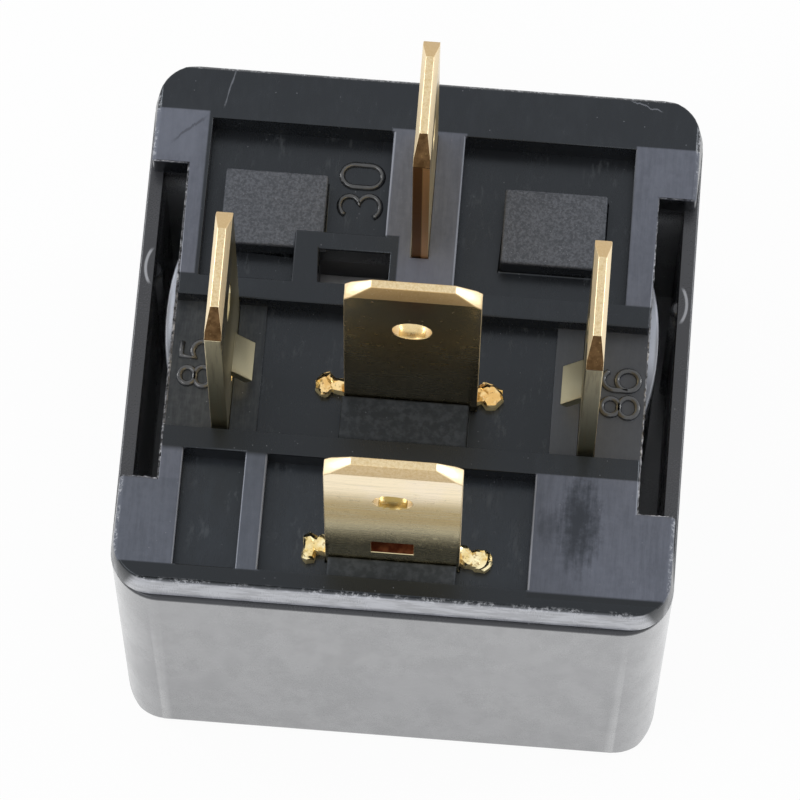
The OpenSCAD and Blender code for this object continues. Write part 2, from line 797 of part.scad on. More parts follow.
// Tube of radius r swept along a list of points, one ring of corners at each point
module swept_wire(p, r, sides = 8) {
    n = len(p);
    dirs = [for (i = [0 : n - 1]) unit(p[min(i + 1, n - 1)] - p[max(i - 1, 0)])];
    rings = [for (i = [0 : n - 1])
        let (side = unit(cross(dirs[i], [0, 0.13, 1])), up = cross(side, dirs[i]))
        for (k = [0 : sides - 1]) p[i] + r * (side * cos(360 * k / sides) + up * sin(360 * k / sides))];
    walls = [for (i = [0 : n - 2], k = [0 : sides - 1])
        [i * sides + k, i * sides + (k + 1) % sides, (i + 1) * sides + (k + 1) % sides, (i + 1) * sides + k]];
    caps = [[for (k = [0 : sides - 1]) sides - 1 - k], [for (k = [0 : sides - 1]) (n - 1) * sides + k]];
    polyhedron(rings, concat(walls, caps), convexity = 6);
}

// Wire end: out of the flange notch, across to the post and round it
module coil_lead(s) {
    steps = 12;
    wrap_r = norm([blade_t, post_w]) / 2 + wire_d;
    wrap_z = post_bottom + wrap_low;
    pitch = wire_d * 1.25;
    z = yoke_under - bobbin_flange_t / 2;
    way_out = [[s * lead_x, coil_y + lead_in, z], [s * lead_x, coil_y + lead_out + wire_d, z],
        [s * (lead_x + wire_d), coil_y + lead_out, z]];
    wraps = [for (i = [0 : wire_turns * steps])
        let (a = 90 - 90 * s + s * (90 + 360 * i / steps))
        [s * x_coil_tab + wrap_r * cos(a), post_y + wrap_r * sin(a),
            wrap_z + pitch * (wire_turns - i / steps)]];
    color(copper_wire) swept_wire(concat(way_out, wraps), wire_d / 2);
}

module coil_lead_85() {
    coil_lead(-1);
}

module coil_lead_86() {
    coil_lead(1);
}

// ---- moving parts, drawn closed round the hinge line and then turned open ----

module opened() {
    translate([0, yoke_out_y, hinge_z]) rotate([open_angle, 0, 0]) children();
}

module armature() {
    half = armature_w / 2;
    nose = spring_w / 2;
    color(iron) opened() difference() {
        translate([0, 0, arm_low]) linear_extrude(armature_t)
            polygon([[-half, -arm_back], [half, -arm_back], [half, arm_taper - armature_front],
                [nose, -armature_front], [-nose, -armature_front], [-half, arm_taper - armature_front]]);
        span([-half - past, half + past], [-arm_lip_len, past], [arm_low - past, -hinge_gap - arm_lip]);
        for (s = [-1, 1]) translate([s * stud_x, -stud_back, arm_low - past])
            cylinder(r = rivet_r + stake_gap, h = armature_t + 2 * past);
    }
}

// Section of the spring in the open armature's own frame: along the armature, round and up the yoke
module spring_section() {
    steps = 12;
    c = cos(open_angle);
    s = sin(open_angle);
    low_mid = arm_low - spring_t / 2;
    leg_mid = spring_t / 2;
    corner_y = leg_mid * c + (low_mid + leg_mid * s) / c * s;
    centre = [corner_y - spring_turn * tan((90 - open_angle) / 2), low_mid + spring_turn];
    top = [leg_mid * c + spring_leg * s, spring_leg * c - leg_mid * s];
    outward = [c, -s];
    angles = [for (i = [0 : steps]) -90 + (90 - open_angle) * i / steps];
    polygon(concat([[-spring_front, arm_low], [-spring_front, arm_low - spring_t]],
        [for (a = angles) centre + (spring_turn + leg_mid) * [cos(a), sin(a)]],
        [top + leg_mid * outward, top - leg_mid * outward],
        [for (i = [steps : -1 : 0]) centre + (spring_turn - leg_mid) * [cos(angles[i]), sin(angles[i])]]));
}

// Outline of the spring seen along the hinge's upright: wide at the yoke, narrow at the contact
module spring_outline() {
    half = spring_w / 2;
    tip = spring_tip_w / 2;
    shoulder = neck_start - armature_front;
    neck = -armature_front - neck_len;
    polygon([[half, past], [half, shoulder], [tip, neck], [tip, -spring_front],
        [-tip, -spring_front], [-tip, neck], [-half, shoulder], [-half, past]]);
}

module contact_spring() {
    arm = spring_w / 2 - spring_band;
    color(spring_bronze) difference() {
        opened() difference() {
            intersection() {
                along_x(spring_w) spring_section();
                translate([0, 0, -2 * spring_leg]) linear_extrude(4 * spring_leg) spring_outline();
            }
            translate([0, -lever, arm_low - past]) cylinder(r = shank_r + stake_gap, h = 2 * past);
            for (s = [-1, 1]) translate([s * stud_x, -stud_back, arm_low - past])
                cylinder(r = rivet_r + stake_gap, h = 2 * past);
        }
        for (s = [-1, 1]) translate([s * stud_x, yoke_out_y, hinge_z + yoke_stud]) rotate([90, 0, 0])
            cylinder(r = rivet_r + stake_gap, h = 2 * past, center = true);
        span([-arm, arm], [yoke_out_y - past / 2, yoke_out_y + past],
            [hinge_z - spring_turn, hinge_z + yoke_stud - stud_margin]);
    }
}

module moving_contact() {
    color(silver) opened() translate([0, -lever, arm_low]) rotate_extrude()
        polygon([[0, -spring_t - contact_h], [contact_r, -spring_t - contact_h], [contact_r, -spring_t],
            [shank_r, -spring_t], [shank_r, 0], [contact_r, 0], [contact_r, contact_h], [0, contact_h]]);
}

module fixed_contact_no() {
    color(silver) translate([0, contact_y, no_strip_z]) rivet(contact_r, contact_h, shank_r, blade_t);
}

module fixed_contact_nc() {
    color(silver) translate([0, contact_y, nc_strip_z + blade_t]) mirror([0, 0, 1])
        rivet(contact_r, contact_h, shank_r, blade_t);
}

module armature_rivets() {
    color(zinc_steel) opened() for (s = [-1, 1]) translate([s * stud_x, -stud_back, arm_low - spring_t])
        rivet(rivet_head_r, rivet_head_h, rivet_r, spring_t + armature_t);
}

module yoke_rivets() {
    color(zinc_steel) for (s = [-1, 1])
        translate([s * stud_x, yoke_out_y + spring_t, hinge_z + yoke_stud]) rotate([90, 0, 0])
            rivet(rivet_head_r, rivet_head_h, rivet_r, spring_t + yoke_t);
}

module terminal_rivet() {
    color(zinc_steel) translate([foot_x, y_30, under_z + blade_t]) mirror([0, 0, 1])
        rivet(foot_head_r, foot_head_h, foot_rivet_r, blade_t + yoke_t);
}

cover();
header();
terminal_30();
terminal_85();
terminal_86();
terminal_87();
terminal_87a();
yoke();
core();
bobbin();
coil_winding();
coil_tape();
coil_lead_85();
coil_lead_86();
armature();
contact_spring();
moving_contact();
fixed_contact_no();
fixed_contact_nc();
armature_rivets();
yoke_rivets();
terminal_rivet();
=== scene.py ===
import math

import bpy
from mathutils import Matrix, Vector
from bpy.props import FloatProperty, FloatVectorProperty, PointerProperty


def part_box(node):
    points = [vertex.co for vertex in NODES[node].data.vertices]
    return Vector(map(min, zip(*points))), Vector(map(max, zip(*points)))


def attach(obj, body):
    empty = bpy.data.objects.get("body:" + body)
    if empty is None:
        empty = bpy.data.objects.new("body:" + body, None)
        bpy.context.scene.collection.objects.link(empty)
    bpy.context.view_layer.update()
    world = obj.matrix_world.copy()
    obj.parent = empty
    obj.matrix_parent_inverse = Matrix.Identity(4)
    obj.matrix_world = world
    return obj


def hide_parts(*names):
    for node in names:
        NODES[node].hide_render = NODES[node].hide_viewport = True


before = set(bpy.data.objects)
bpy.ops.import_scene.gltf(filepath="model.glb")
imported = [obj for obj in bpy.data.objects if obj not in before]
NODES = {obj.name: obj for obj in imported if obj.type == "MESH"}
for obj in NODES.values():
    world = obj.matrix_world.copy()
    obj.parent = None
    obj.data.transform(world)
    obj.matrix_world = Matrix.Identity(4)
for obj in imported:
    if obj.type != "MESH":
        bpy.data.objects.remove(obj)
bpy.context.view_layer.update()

bl_info = {
    "name": "Plug-in relay",
    "version": (1, 0, 0),
    "blender": (4, 5, 0),
    "location": "3D View > Sidebar > Relay",
    "description": "Dresses the packed relay with its mouldings, blades and finishes",
    "category": "Object",
}

MM = 0.001
HEADER_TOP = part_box("header")[1]
COVER_LOW, COVER_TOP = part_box("cover")
TOP_Z = HEADER_TOP.z
REAR_FLOOR_Z = TOP_Z - 1.5 * MM
STEP_Z = TOP_Z - 0.95 * MM
FRONT_FLOOR_Z = TOP_Z - 1.25 * MM

# Radians of the winding's wave for each millimetre of height: one turn of wire is 0.13 mm
TURNS = 2 * math.pi / 0.13

# The same levels in millimetres, as the finishes use them
TOP = TOP_Z / MM
RIM = COVER_TOP.z / MM
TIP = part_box("terminal_87")[1].z / MM

# Areas of the header seen from above: reach in X and in Y, in millimetres
PAD_BACK_LEFT = ((-13.4, -10.7), (8.12, 10.9))
PAD_FRONT_LEFT = ((-13.4, -10.28), (-12.4, -8.12))
SMALL_RIB = ((-7.47, -6.28), (-12.4, -6.5))
PADS = (PAD_BACK_LEFT, ((-11.5, -10.7), (2.4, 8.2)), ((10.22, 13.4), (8.12, 10.7)),
        ((10.22, 11.5), (2.4, 8.2)), PAD_FRONT_LEFT, ((-11.5, -10.28), (-8.2, -6.5)),
        ((6.48, 13.4), (-12.75, -8.12)), ((6.48, 11.5), (-8.2, -6.5)), ((-1.72, 1.92), (5.1, 10.7)),
        ((-0.95, 1.92), (2.4, 5.2)), SMALL_RIB)
STEP_LEFT = ((-11.6, -6.9), (-5.5, 1.4))
STEP_RIGHT = ((6.9, 11.6), (-5.5, 1.4))
GRAIN_LEFT = ((-9.8, -4.5), (4.1, 8.2))
GRAIN_RIGHT = ((3.9, 9.1), (4.1, 8.2))
BLOCK_87A = ((-3.6, 4.0), (-5.6, -2.4))
BLOCK_87 = ((-3.4, 3.6), (-13.2, -10.9))
HEADER_WINDOW = ((-4.8, -1.3), (2.3, 4.2))

# Areas of the cover inside its two pockets
POCKETS = (((-12.75, -11.3), (-8.2, 8.2)), ((11.3, 12.75), (-8.2, 8.2)))
SWELLINGS = (((-12.3, -11.4), (-2.4, 4.1)), ((11.4, 12.3), (-2.4, 4.1)))

# Where the plastic stands thin its edges are rounded less:
# reach in X, Y and Z in millimetres, and the share of the full radius
FLOOR_TO_TOP = (19.0, 23.0)
FLANGE = (22.6, 23.0)
THIN = (((-11.6, -6.9), (-5.6, 1.45), (21.9, 22.0), 0.22),
        ((6.9, 11.6), (-5.6, 1.45), (21.9, 22.0), 0.22),
        ((-9.4, -8.2), (-5.4, 1.25), FLOOR_TO_TOP, 0.22),
        ((8.2, 9.4), (-5.4, 1.25), FLOOR_TO_TOP, 0.22),
        ((-3.4, 8.4), (-11.5, -2.1), (19.0, 22.0), 0.22),
        ((-0.6, 6.2), (3.8, 10.7), (19.0, 21.0), 0.22),
        ((-6.2, -4.5), (4.0, 5.2), (22.6, 22.8), 0.22),
        ((-13.5, -13.0), (-13.5, 13.5), FLANGE, 0.6),
        ((13.0, 13.5), (-13.5, 13.5), FLANGE, 0.6),
        ((-13.5, 13.5), (-13.5, -13.0), FLANGE, 0.6),
        ((-13.5, 13.5), (13.0, 13.5), FLANGE, 0.6))


# ---- shader building ----

class Value:
    """A number socket: arithmetic on it adds Math nodes."""

    def __init__(self, nodes, socket):
        self.nodes = nodes
        self.socket = socket

    def _math(self, operation, *values):
        settings = {"operation": operation}
        return self.nodes.node("ShaderNodeMath", "Value", settings, dict(enumerate(values)))

    def __add__(self, other):
        return self._math("ADD", self, other)

    __radd__ = __add__

    def __sub__(self, other):
        return self._math("SUBTRACT", self, other)

    def __rsub__(self, other):
        return self._math("SUBTRACT", other, self)

    def __mul__(self, other):
        return self._math("MULTIPLY", self, other)

    __rmul__ = __mul__

    def __truediv__(self, other):
        return self._math("DIVIDE", self, other)

    def __pow__(self, other):
        return self._math("POWER", self, other)

    def __abs__(self):
        return self._math("ABSOLUTE", self)

    def sine(self):
        return self._math("SINE", self)

    def larger(self, other):
        return self._math("MAXIMUM", self, other)

    def smaller(self, other):
        return self._math("MINIMUM", self, other)

    def ramp(self, low, high):
        """0 below low, 1 above high, smooth between; low above high turns it round."""
        flip = low > high
        settings = {"interpolation_type": "SMOOTHSTEP", "clamp": True}
        return self.nodes.node("ShaderNodeMapRange", "Result", settings, {
            "Value": self, "From Min": min(low, high), "From Max": max(low, high),
            "To Min": 1.0 if flip else 0.0, "To Max": 0.0 if flip else 1.0})


class Nodes:
    """The node tree of a material or of the world, built from nothing."""

    def __init__(self, owner):
        owner.use_nodes = True
        self.tree = owner.node_tree
        self.tree.nodes.clear()

    def plug(self, socket, value):
        """Links a value to a socket, or writes a plain number or colour in it."""
        if isinstance(value, Value):
            self.tree.links.new(value.socket, socket)
        else:
            socket.default_value = value

    def node(self, kind, output, settings, sockets):
        """Adds a node: its settings are set first, then its sockets get values or links."""
        made = self.tree.nodes.new(kind)
        for key, value in settings.items():
            setattr(made, key, value)
        for key, value in sockets.items():
            self.plug(made.inputs[key], value)
        return Value(self, made.outputs[output]) if output else None

    def beside(self, value, output):
        """Another output of the node that a value comes from."""
        return Value(self, value.socket.node.outputs[output])

    def axes(self, vector):
        """A vector as its X, Y and Z."""
        first = self.node("ShaderNodeSeparateXYZ", "X", {}, {"Vector": vector})
        return first, self.beside(first, "Y"), self.beside(first, "Z")


class Finish(Nodes):
    """A procedural material on Object coordinates, in millimetres."""

    def __init__(self, name, **constants):
        self.material = bpy.data.materials.new(name)
        super().__init__(self.material)
        surface = self.node("ShaderNodeBsdfPrincipled", "BSDF", {}, {})
        self.shader = surface.socket.node
        self.node("ShaderNodeOutputMaterial", None, {}, {"Surface": surface})
        self.feed(**constants)
        place = self.node("ShaderNodeTexCoord", "Object", {}, {})
        self.point = self.node("ShaderNodeVectorMath", "Vector", {"operation": "SCALE"},
                               {0: place, "Scale": 1 / MM})
        self.x, self.y, self.z = self.axes(self.point)

    def noise(self, scale, detail=3.0, roughness=0.5, shift=(0.0, 0.0, 0.0), distortion=0.0):
        """Noise of one scale, or of three scales where it is drawn out along the axes."""
        at = self.point
        if isinstance(scale, tuple):
            at = self.node("ShaderNodeMapping", "Vector", {}, {
                "Vector": at, "Location": shift, "Scale": scale})
            scale = 1.0
        return self.node("ShaderNodeTexNoise", "Fac", {}, {
            "Vector": at, "Scale": scale, "Detail": detail, "Roughness": roughness,
            "Distortion": distortion})

    def cells(self, scale):
        """Distance from the middle of the nearest cell."""
        return self.node("ShaderNodeTexVoronoi", "Distance", {}, {"Vector": self.point, "Scale": scale})

    def specks(self, scale, share, size=0.11):
        """Small dots, one in some of the cells of the pattern."""
        dots = self.cells(scale)
        chance = self.noise(scale * 0.43, 0.0, 0.5)
        return dots.ramp(size, size * 0.4) * chance.ramp(1 - share, 1 - share + 0.05)

    def box(self, x, y, soft=0.05):
        """1 inside a rectangle seen from above."""
        return (self.x.ramp(x[0] - soft, x[0] + soft) * self.x.ramp(x[1] + soft, x[1] - soft)
                * self.y.ramp(y[0] - soft, y[0] + soft) * self.y.ramp(y[1] + soft, y[1] - soft))

    def border(self, half_x, half_y, inner, outer):
        """1 near the four sides of an upright block, from one distance inside them to another."""
        return (abs(self.y).ramp(half_y - inner, half_y - outer)
                .larger(abs(self.x).ramp(half_x - inner, half_x - outer)))

    def smudge(self, x, y, half_x, half_y, ragged):
        """Squared distance from the middle of an oval seen from above, 1 at its edge, made ragged."""
        across = (self.x - x) / half_x
        along = (self.y - y) / half_y
        return across * across + along * along + ragged

    def level(self, low, high, soft=0.03):
        """1 between two heights."""
        return self.z.ramp(low - soft, low + soft) * self.z.ramp(high + soft, high - soft)

    def mix(self, share, first, second):
        """Mixes two colours."""
        def colour(c):
            return c if isinstance(c, Value) else (*c, 1.0)
        return self.node("ShaderNodeMix", 2, {"data_type": "RGBA"}, {
            0: share, 6: colour(first), 7: colour(second)})

    def facing(self):
        """X, Y and Z of the surface's own direction."""
        return self.axes(self.node("ShaderNodeNewGeometry", "Normal", {}, {}))

    def bump(self, height, distance, strength):
        """Small relief, with its distance in millimetres."""
        return self.node("ShaderNodeBump", "Normal", {}, {
            "Height": height, "Distance": distance * MM, "Strength": strength})

    def feed(self, **sockets):
        """Sets or links the shader's own sockets."""
        for name, value in sockets.items():
            self.plug(self.shader.inputs[name.replace("_", " ")], value)
        return self.material


# ---- finishes ----

def header_finish(s):
    """Moulded plastic: brushed pads, grained plates, dull steps and smooth floors."""
    f = Finish("header_plastic_finish_and_painted_light", IOR=1.5, Coat_Roughness=0.2, Coat_IOR=1.9,
               Specular_Tint=(*s.sheen_tint, 1.0))
    at_top = f.z.ramp(TOP - 0.34, TOP - 0.2)
    side_on, _, upward = f.facing()
    pads = f.box(*PADS[0])
    for area in PADS[1:]:
        pads = pads.larger(f.box(*area))
    pads = pads * at_top
    step_level = f.level(TOP - 1.02, TOP - 0.88)
    steps_right = step_level * f.box(*STEP_RIGHT)
    steps = step_level * f.box(*STEP_LEFT) + steps_right
    grains = f.level(TOP - 0.4, TOP - 0.12) * (f.box(*GRAIN_LEFT) + f.box(*GRAIN_RIGHT))
    blocks = f.level(TOP - 0.4, TOP - 0.2) * (f.box(*BLOCK_87A) + f.box(*BLOCK_87))
    floors = f.level(TOP - 1.6, TOP - 1.15)
    inside = f.z.ramp(TOP - 1.56, TOP - 1.7) * f.box(*HEADER_WINDOW)

    strokes = f.noise((4.6, 0.5, 2.0), 5.0, 0.6)
    fine = f.noise((22.0, 2.2, 3.0), 3.0, 0.6, (3.1, 0.4, 0.0))
    mottle = f.noise(2.6, 4.0, 0.65)
    cloud = f.noise(0.33, 4.0, 0.55)
    patch = f.noise((0.9, 0.405, 0.9), 2.0, 0.5, (6.3, 1.8, 0.0))
    flow = f.noise((2.6, 0.9, 2.0), 4.0, 0.65, (1.0, 8.0, 0.0))
    brushing = strokes * 0.38 + fine * 0.18 + mottle * 0.30 + patch * 0.14

    grain = f.noise(8.0, 3.0, 0.7)
    # Painted glints: small bright dots in the colour of the grained plates stand in for highlights
    painted_glints = f.cells(6.5).ramp(0.15, 0.04) * f.noise(3.1, 1.0, 0.5).ramp(0.52, 0.64)

    dark = f.mix((cloud * 0.5 + flow * 0.5).ramp(0.42, 0.68), s.header_dark, s.header_sheen)
    brushed = f.mix(brushing.ramp(0.36, 0.64), s.pad_dark, s.pad_light)
    step_tone = f.mix(brushing.ramp(0.38, 0.66), s.header_sheen, (0.040, 0.043, 0.045))
    step_tone = f.mix(steps_right * 0.6, step_tone, (0.076, 0.079, 0.091))
    grained = f.mix(grain.ramp(0.35, 0.68), (0.038, 0.040, 0.046), (0.098, 0.102, 0.116))
    grained = f.mix(painted_glints * 0.7, grained, (0.42, 0.44, 0.48))
    block_tone = f.mix(mottle.ramp(0.4, 0.65), (0.014, 0.016, 0.018), (0.036, 0.039, 0.044))

    # The dark smudge on the front right pad and the crease across the back left one
    smudge = f.smudge(8.75, -8.9, 1.0, 2.3, (strokes + mottle) * 1.4).ramp(2.9, 1.3)
    shade = (f.x + f.y * 0.6).ramp(3.5, 0.5) * f.x.ramp(6.0, 6.6)
    brushed = f.mix(f.box((-0.95, 1.92), (2.4, 4.6), 0.5) * 0.45, brushed, (0.135, 0.138, 0.162))
    brushed = f.mix(f.box((-13.4, -11.0), (8.4, 10.9), 0.4) * 0.45, brushed, (0.128, 0.138, 0.172))
    dimmer = f.box(*SMALL_RIB) * 0.36 + f.box(*PAD_FRONT_LEFT) * 0.22
    brushed = f.mix(dimmer, brushed, (0.040, 0.048, 0.058))
    brushed = f.mix(smudge * 0.93, brushed, (0.012, 0.014, 0.019))
    second = f.smudge(7.25, -9.1, 0.6, 1.1, (strokes + mottle) * 1.4).ramp(2.6, 1.2)
    brushed = f.mix(second * 0.55, brushed, (0.020, 0.022, 0.028))
    brushed = f.mix(shade * 0.35, brushed, (0.030, 0.032, 0.040))
    crease = (abs(f.y - (9.3 + (f.x + 12.0) * 0.9 + strokes * 0.5)).ramp(0.14, 0.03)
              * f.box((-12.3, -10.9), (8.9, 10.7), 0.25))
    brushed = f.mix(crease * 0.6, brushed, (0.03, 0.031, 0.04))

    lit_edge = (abs(side_on).ramp(0.2, 0.6) * f.z.ramp(TOP - 0.3, TOP - 0.16)
                * abs(f.x).ramp(12.9, 12.5))
    brushed = f.mix(lit_edge * 0.8, brushed, (0.30, 0.315, 0.36))
    colour = f.mix(pads, dark, brushed)
    colour = f.mix(lit_edge * (1 - pads) * 0.4, colour, (0.06, 0.063, 0.070))
    colour = f.mix(steps, colour, step_tone)
    colour = f.mix(blocks, colour, block_tone)
    colour = f.mix(grains, colour, grained)
    front = floors * f.y.ramp(-6.4, -7.0) * (0.55 + flow.ramp(0.35, 0.65) * 0.45)
    colour = f.mix(front, colour, (0.0135, 0.0165, 0.021))
    # Painted light: the walls inside the header window are made lighter grey than the plastic so that they
    # read as lit
    colour = f.mix(inside, colour, (0.11, 0.11, 0.115))
    # Painted shade: near black at the front edge and along the rib in front of the steps at the top, and
    # on the recess floors either side of the block of 87a
    deep_painted_light_and_shade = (at_top * (f.y.ramp(-12.35, -12.5) + f.box((-11.5, 6.4), (-6.6, -5.4), 0.2))
            + floors * (f.box((3.4, 7.0), (-5.6, -1.2), 0.7) + f.box((-7.0, -3.4), (-5.6, -2.0), 0.7)))
    colour = f.mix(deep_painted_light_and_shade.smaller(1.0), colour, (0.0022, 0.0025, 0.0029))

    # Fine light scratches, smears, flecks and dust on the smooth plastic
    scratch = (abs(f.x - (-9.95 + (f.y - 12.2) * 0.22 + strokes * 0.25)).ramp(0.06, 0.01)
               * f.box((-10.5, -9.2), (11.3, 13.1), 0.3) * at_top * (0.35 + patch))
    nick = (abs(f.y - (12.75 - (f.x - 10.2) * 0.28 + strokes * 0.4)).ramp(0.05, 0.01)
            * f.box((9.3, 11.3), (12.2, 13.1), 0.15) * at_top)
    smear = (f.noise((3.4, 1.0, 1.0), 4.0, 0.7, (5.0, 1.0, 0.0)).ramp(0.52, 0.72)
             * f.noise(0.55, 2.0, 0.5).ramp(0.46, 0.62) * floors)
    hair = f.noise((1.4, 1.4, 1.0), 1.0, 0.4, (11.0, 4.0, 2.0), distortion=2.2)
    hairs = abs(hair - 0.5).ramp(0.006, 0.001) * f.noise(0.7, 1.0).ramp(0.6, 0.72)
    fleck = flow.ramp(0.66, 0.74) * fine.ramp(0.5, 0.62)
    dust = f.specks(2.9, 0.42)
    colour = f.mix((scratch * 0.5 + nick * 0.6).smaller(1.0), colour, (0.22, 0.23, 0.26))
    colour = f.mix(smear * 0.16, colour, (0.24, 0.26, 0.28))
    colour = f.mix((hairs * 0.12 + dust * 0.45 + fleck * 0.10).smaller(1.0), colour, (0.26, 0.27, 0.30))

    # A painted highlight makes the flange's own edge pale, most of all along the front, broken up like
    # scuffs
    half_x, half_y = HEADER_TOP.x / MM, HEADER_TOP.y / MM
    rim = (f.border(half_x, half_y, 0.3, 0.05)
           * f.z.ramp(TOP - 0.05, TOP - 0.16) * upward.ramp(0.8, 0.5)
           * (0.12 + f.y.ramp(-half_y + 1.1, -half_y + 0.4) * 0.88))
    scuffs_and_sheen = f.noise((0.8, 0.8, 4.0), 4.0, 0.65)
    mottled_painted_light = rim * (0.62 + scuffs_and_sheen.ramp(0.4, 0.6) * 0.38)
    colour = f.mix(mottled_painted_light * 0.9, colour, s.rim)
    torn = (f.border(half_x, half_y, 0.24, 0.08)
            * f.noise(5.0, 4.0, 0.75).ramp(0.5, 0.56) * f.noise(1.1, 2.0, 0.5).ramp(0.4, 0.55) * at_top)
    colour = f.mix(torn * 0.5, colour, (0.62, 0.63, 0.66))

    rough = (0.19 + cloud * 0.12 + fine * 0.05 + pads * (0.30 + brushing * 0.1) + steps * 0.2
             + grains * 0.26 + blocks * 0.36 + inside * 0.5 + dust * 0.2 + fleck * 0.1 + smear * 0.15)
    height = (brushing * (pads * 0.9 + steps * 0.4 + blocks * 0.3) + grain * grains * 2.4 + cloud * 0.4
              + flow * 0.25 - scratch * 0.5)
    return f.feed(Base_Color=colour, Roughness=rough.smaller(0.9), Coat_Weight=rim,
                  Normal=f.bump(height, 0.03, 0.5))


def cover_finish(s):
    """Smooth moulded plastic with a gloss outside and dull pockets."""
    f = Finish("cover_plastic_finish_and_painted_light", IOR=1.6, Coat_Roughness=0.18, Coat_IOR=1.75,
               Specular_Tint=(0.93, 0.95, 1.0, 1.0), Coat_Tint=(0.97, 0.98, 1.0, 1.0))
    cloud = f.noise(0.16, 4.0, 0.55)
    flow = f.noise((0.5, 0.5, 0.09), 4.0, 0.6)
    peel = f.noise(2.4, 2.0, 0.5)
    micro = f.noise(14.0, 2.0, 0.5)
    blotch = f.noise((0.7, 0.7, 0.35), 5.0, 0.7)
    dust = f.specks(1.9, 0.36)
    pits = f.specks(1.3, 0.5, 0.09)
    half_x, half_y = COVER_TOP.x / MM, COVER_TOP.y / MM
    sides = f.border(half_x, half_y, 0.25, 0.06)
    corners = (abs(f.x) + abs(f.y)).ramp(half_x + half_y - 2.6, half_x + half_y - 2.5)
    outside = sides.larger(corners) * f.z.ramp(RIM - 0.02, RIM - 0.2)
    colour = f.mix((cloud * 0.6 + flow * 0.4).ramp(0.35, 0.68), s.cover_dark, s.cover_light)
    colour = f.mix((1 - outside) * 0.5, colour, s.pocket)
    colour = f.mix(dust * 0.35, colour, (0.24, 0.25, 0.27))
    colour = f.mix(pits * 0.5 * outside, colour, (0.004, 0.004, 0.005))

    # Painted light lightens the pockets down their depth, and a painted highlight makes their swelling
    # walls shine at the top
    deep_painted_light_and_shade = f.box(*POCKETS[0]) + f.box(*POCKETS[1])
    colour = f.mix(deep_painted_light_and_shade * f.z.ramp(21.0, 19.5) * 0.8, colour, (0.36, 0.37, 0.39))
    swelling_painted_highlight = f.box(*SWELLINGS[0], 0.15) + f.box(*SWELLINGS[1], 0.15)
    swelling_painted_highlight = swelling_painted_highlight * f.z.ramp(RIM - 0.5, RIM - 0.1)
    painted_highlight_band = (1 - abs(f.y - 1.4).ramp(0.8, 2.8) * 0.7) * abs(f.x).ramp(12.0, 11.72)
    colour = f.mix(swelling_painted_highlight * painted_highlight_band * 0.9, colour, (0.60, 0.63, 0.70))

    # A thin arc of painted highlight on the rim beside each pocket
    across = abs(f.x) - 11.4
    along = f.y - 3.2
    arc = (abs((across * across + along * along) ** 0.5 - 1.8).ramp(0.1, 0.03)
           * abs(along).ramp(1.0, 0.7) * f.z.ramp(RIM - 0.2, RIM - 0.08))
    colour = f.mix(arc * 0.8, colour, (0.40, 0.41, 0.44))
    gloss = (0.66 + f.z.ramp(0.0, RIM) * 0.28 + f.x.ramp(2.0, 10.0) * 0.06
             + (blotch.ramp(0.38, 0.62) - 0.5) * 0.16 - pits * 0.3)
    return f.feed(Base_Color=colour, Roughness=0.2 + cloud * 0.1 + micro * 0.05 + dust * 0.2,
                  Coat_Weight=outside * gloss,
                  Normal=f.bump(peel * 0.4 + flow * 0.5 + micro * 0.1, 0.03, 0.3))


def brass_finish(name, s, along, pale=0.0, tilt=0.0, dim_painted_reflection=0.0, dull=0.0, shade=0.0):
    """Rolled and plated brass; the rolling marks run along X or Y."""
    f = Finish(name, Metallic=1.0)
    scale = (0.35, 9.0, 13.0) if along == "x" else (9.0, 0.35, 13.0)
    marks = f.noise(scale, 5.0, 0.65)
    fine = f.noise(tuple(2.6 * v for v in scale), 3.0, 0.6)
    cloud = f.noise(0.28, 4.0, 0.6)
    spots = f.noise(2.2, 3.0, 0.6).ramp(0.6, 0.74)
    nicks = f.specks(2.4, 0.3, 0.07)
    colour = f.mix(cloud.ramp(0.32, 0.7), s.brass, s.brass_pale)
    colour = f.mix(marks.ramp(0.5, 0.78) * 0.4, colour, s.brass_deep)
    colour = f.mix(spots * 0.25, colour, (0.46, 0.32, 0.15))
    # Painted reflection for blade 87's face: pale at the top, dark in the middle and lighter low down
    upper = f.z.ramp(TOP + 7.3, TOP + 10.2)
    painted_reflection = f.mix(upper, (0.42, 0.30, 0.10), (0.96, 0.81, 0.55))
    painted_reflection = f.mix(f.z.ramp(TOP + 6.2, TOP + 4.0), painted_reflection, (0.76, 0.66, 0.40))
    painted_reflection = f.mix((marks.ramp(0.48, 0.66) * (0.62 - upper * 0.34) + spots * 0.15).smaller(1.0), painted_reflection,
                   (0.46, 0.41, 0.27))
    painted_reflection = f.mix(cloud.ramp(0.45, 0.6) * upper * 0.3, painted_reflection, (0.92, 0.80, 0.68))
    colour = f.mix(pale, colour, painted_reflection)
    # Painted reflection for blade 87a: darker low down and pale near the tip
    colour = f.mix(f.z.ramp(TOP + 8.5, TOP + 0.5) * dim_painted_reflection, colour, (0.16, 0.15, 0.10))
    colour = f.mix(f.z.ramp(TOP + 7.0, TOP + 11.5) * dim_painted_reflection, colour, (1.0, 0.86, 0.60))
    # Painted shade on the side faces that turn towards the middle
    inward = (f.facing()[0] * f.x).ramp(0.0, -3.0) * shade
    colour = f.mix(inward * 0.9, colour, f.mix(f.z.ramp(TOP + 2.5, TOP + 6.5), (0.50, 0.47, 0.33),
                                               (0.20, 0.185, 0.105)))
    colour = f.mix(nicks * 0.5, colour, (0.95, 0.85, 0.6))
    rough = 0.09 + marks * 0.12 + cloud * 0.06 + spots * 0.12 + (1 - upper) * 0.08 + dull
    return f.feed(Base_Color=colour, Roughness=rough,
                  Normal=f.bump(marks * 0.7 + fine * 0.3 + cloud * 0.25 - f.z * tilt, 0.010, 0.45))


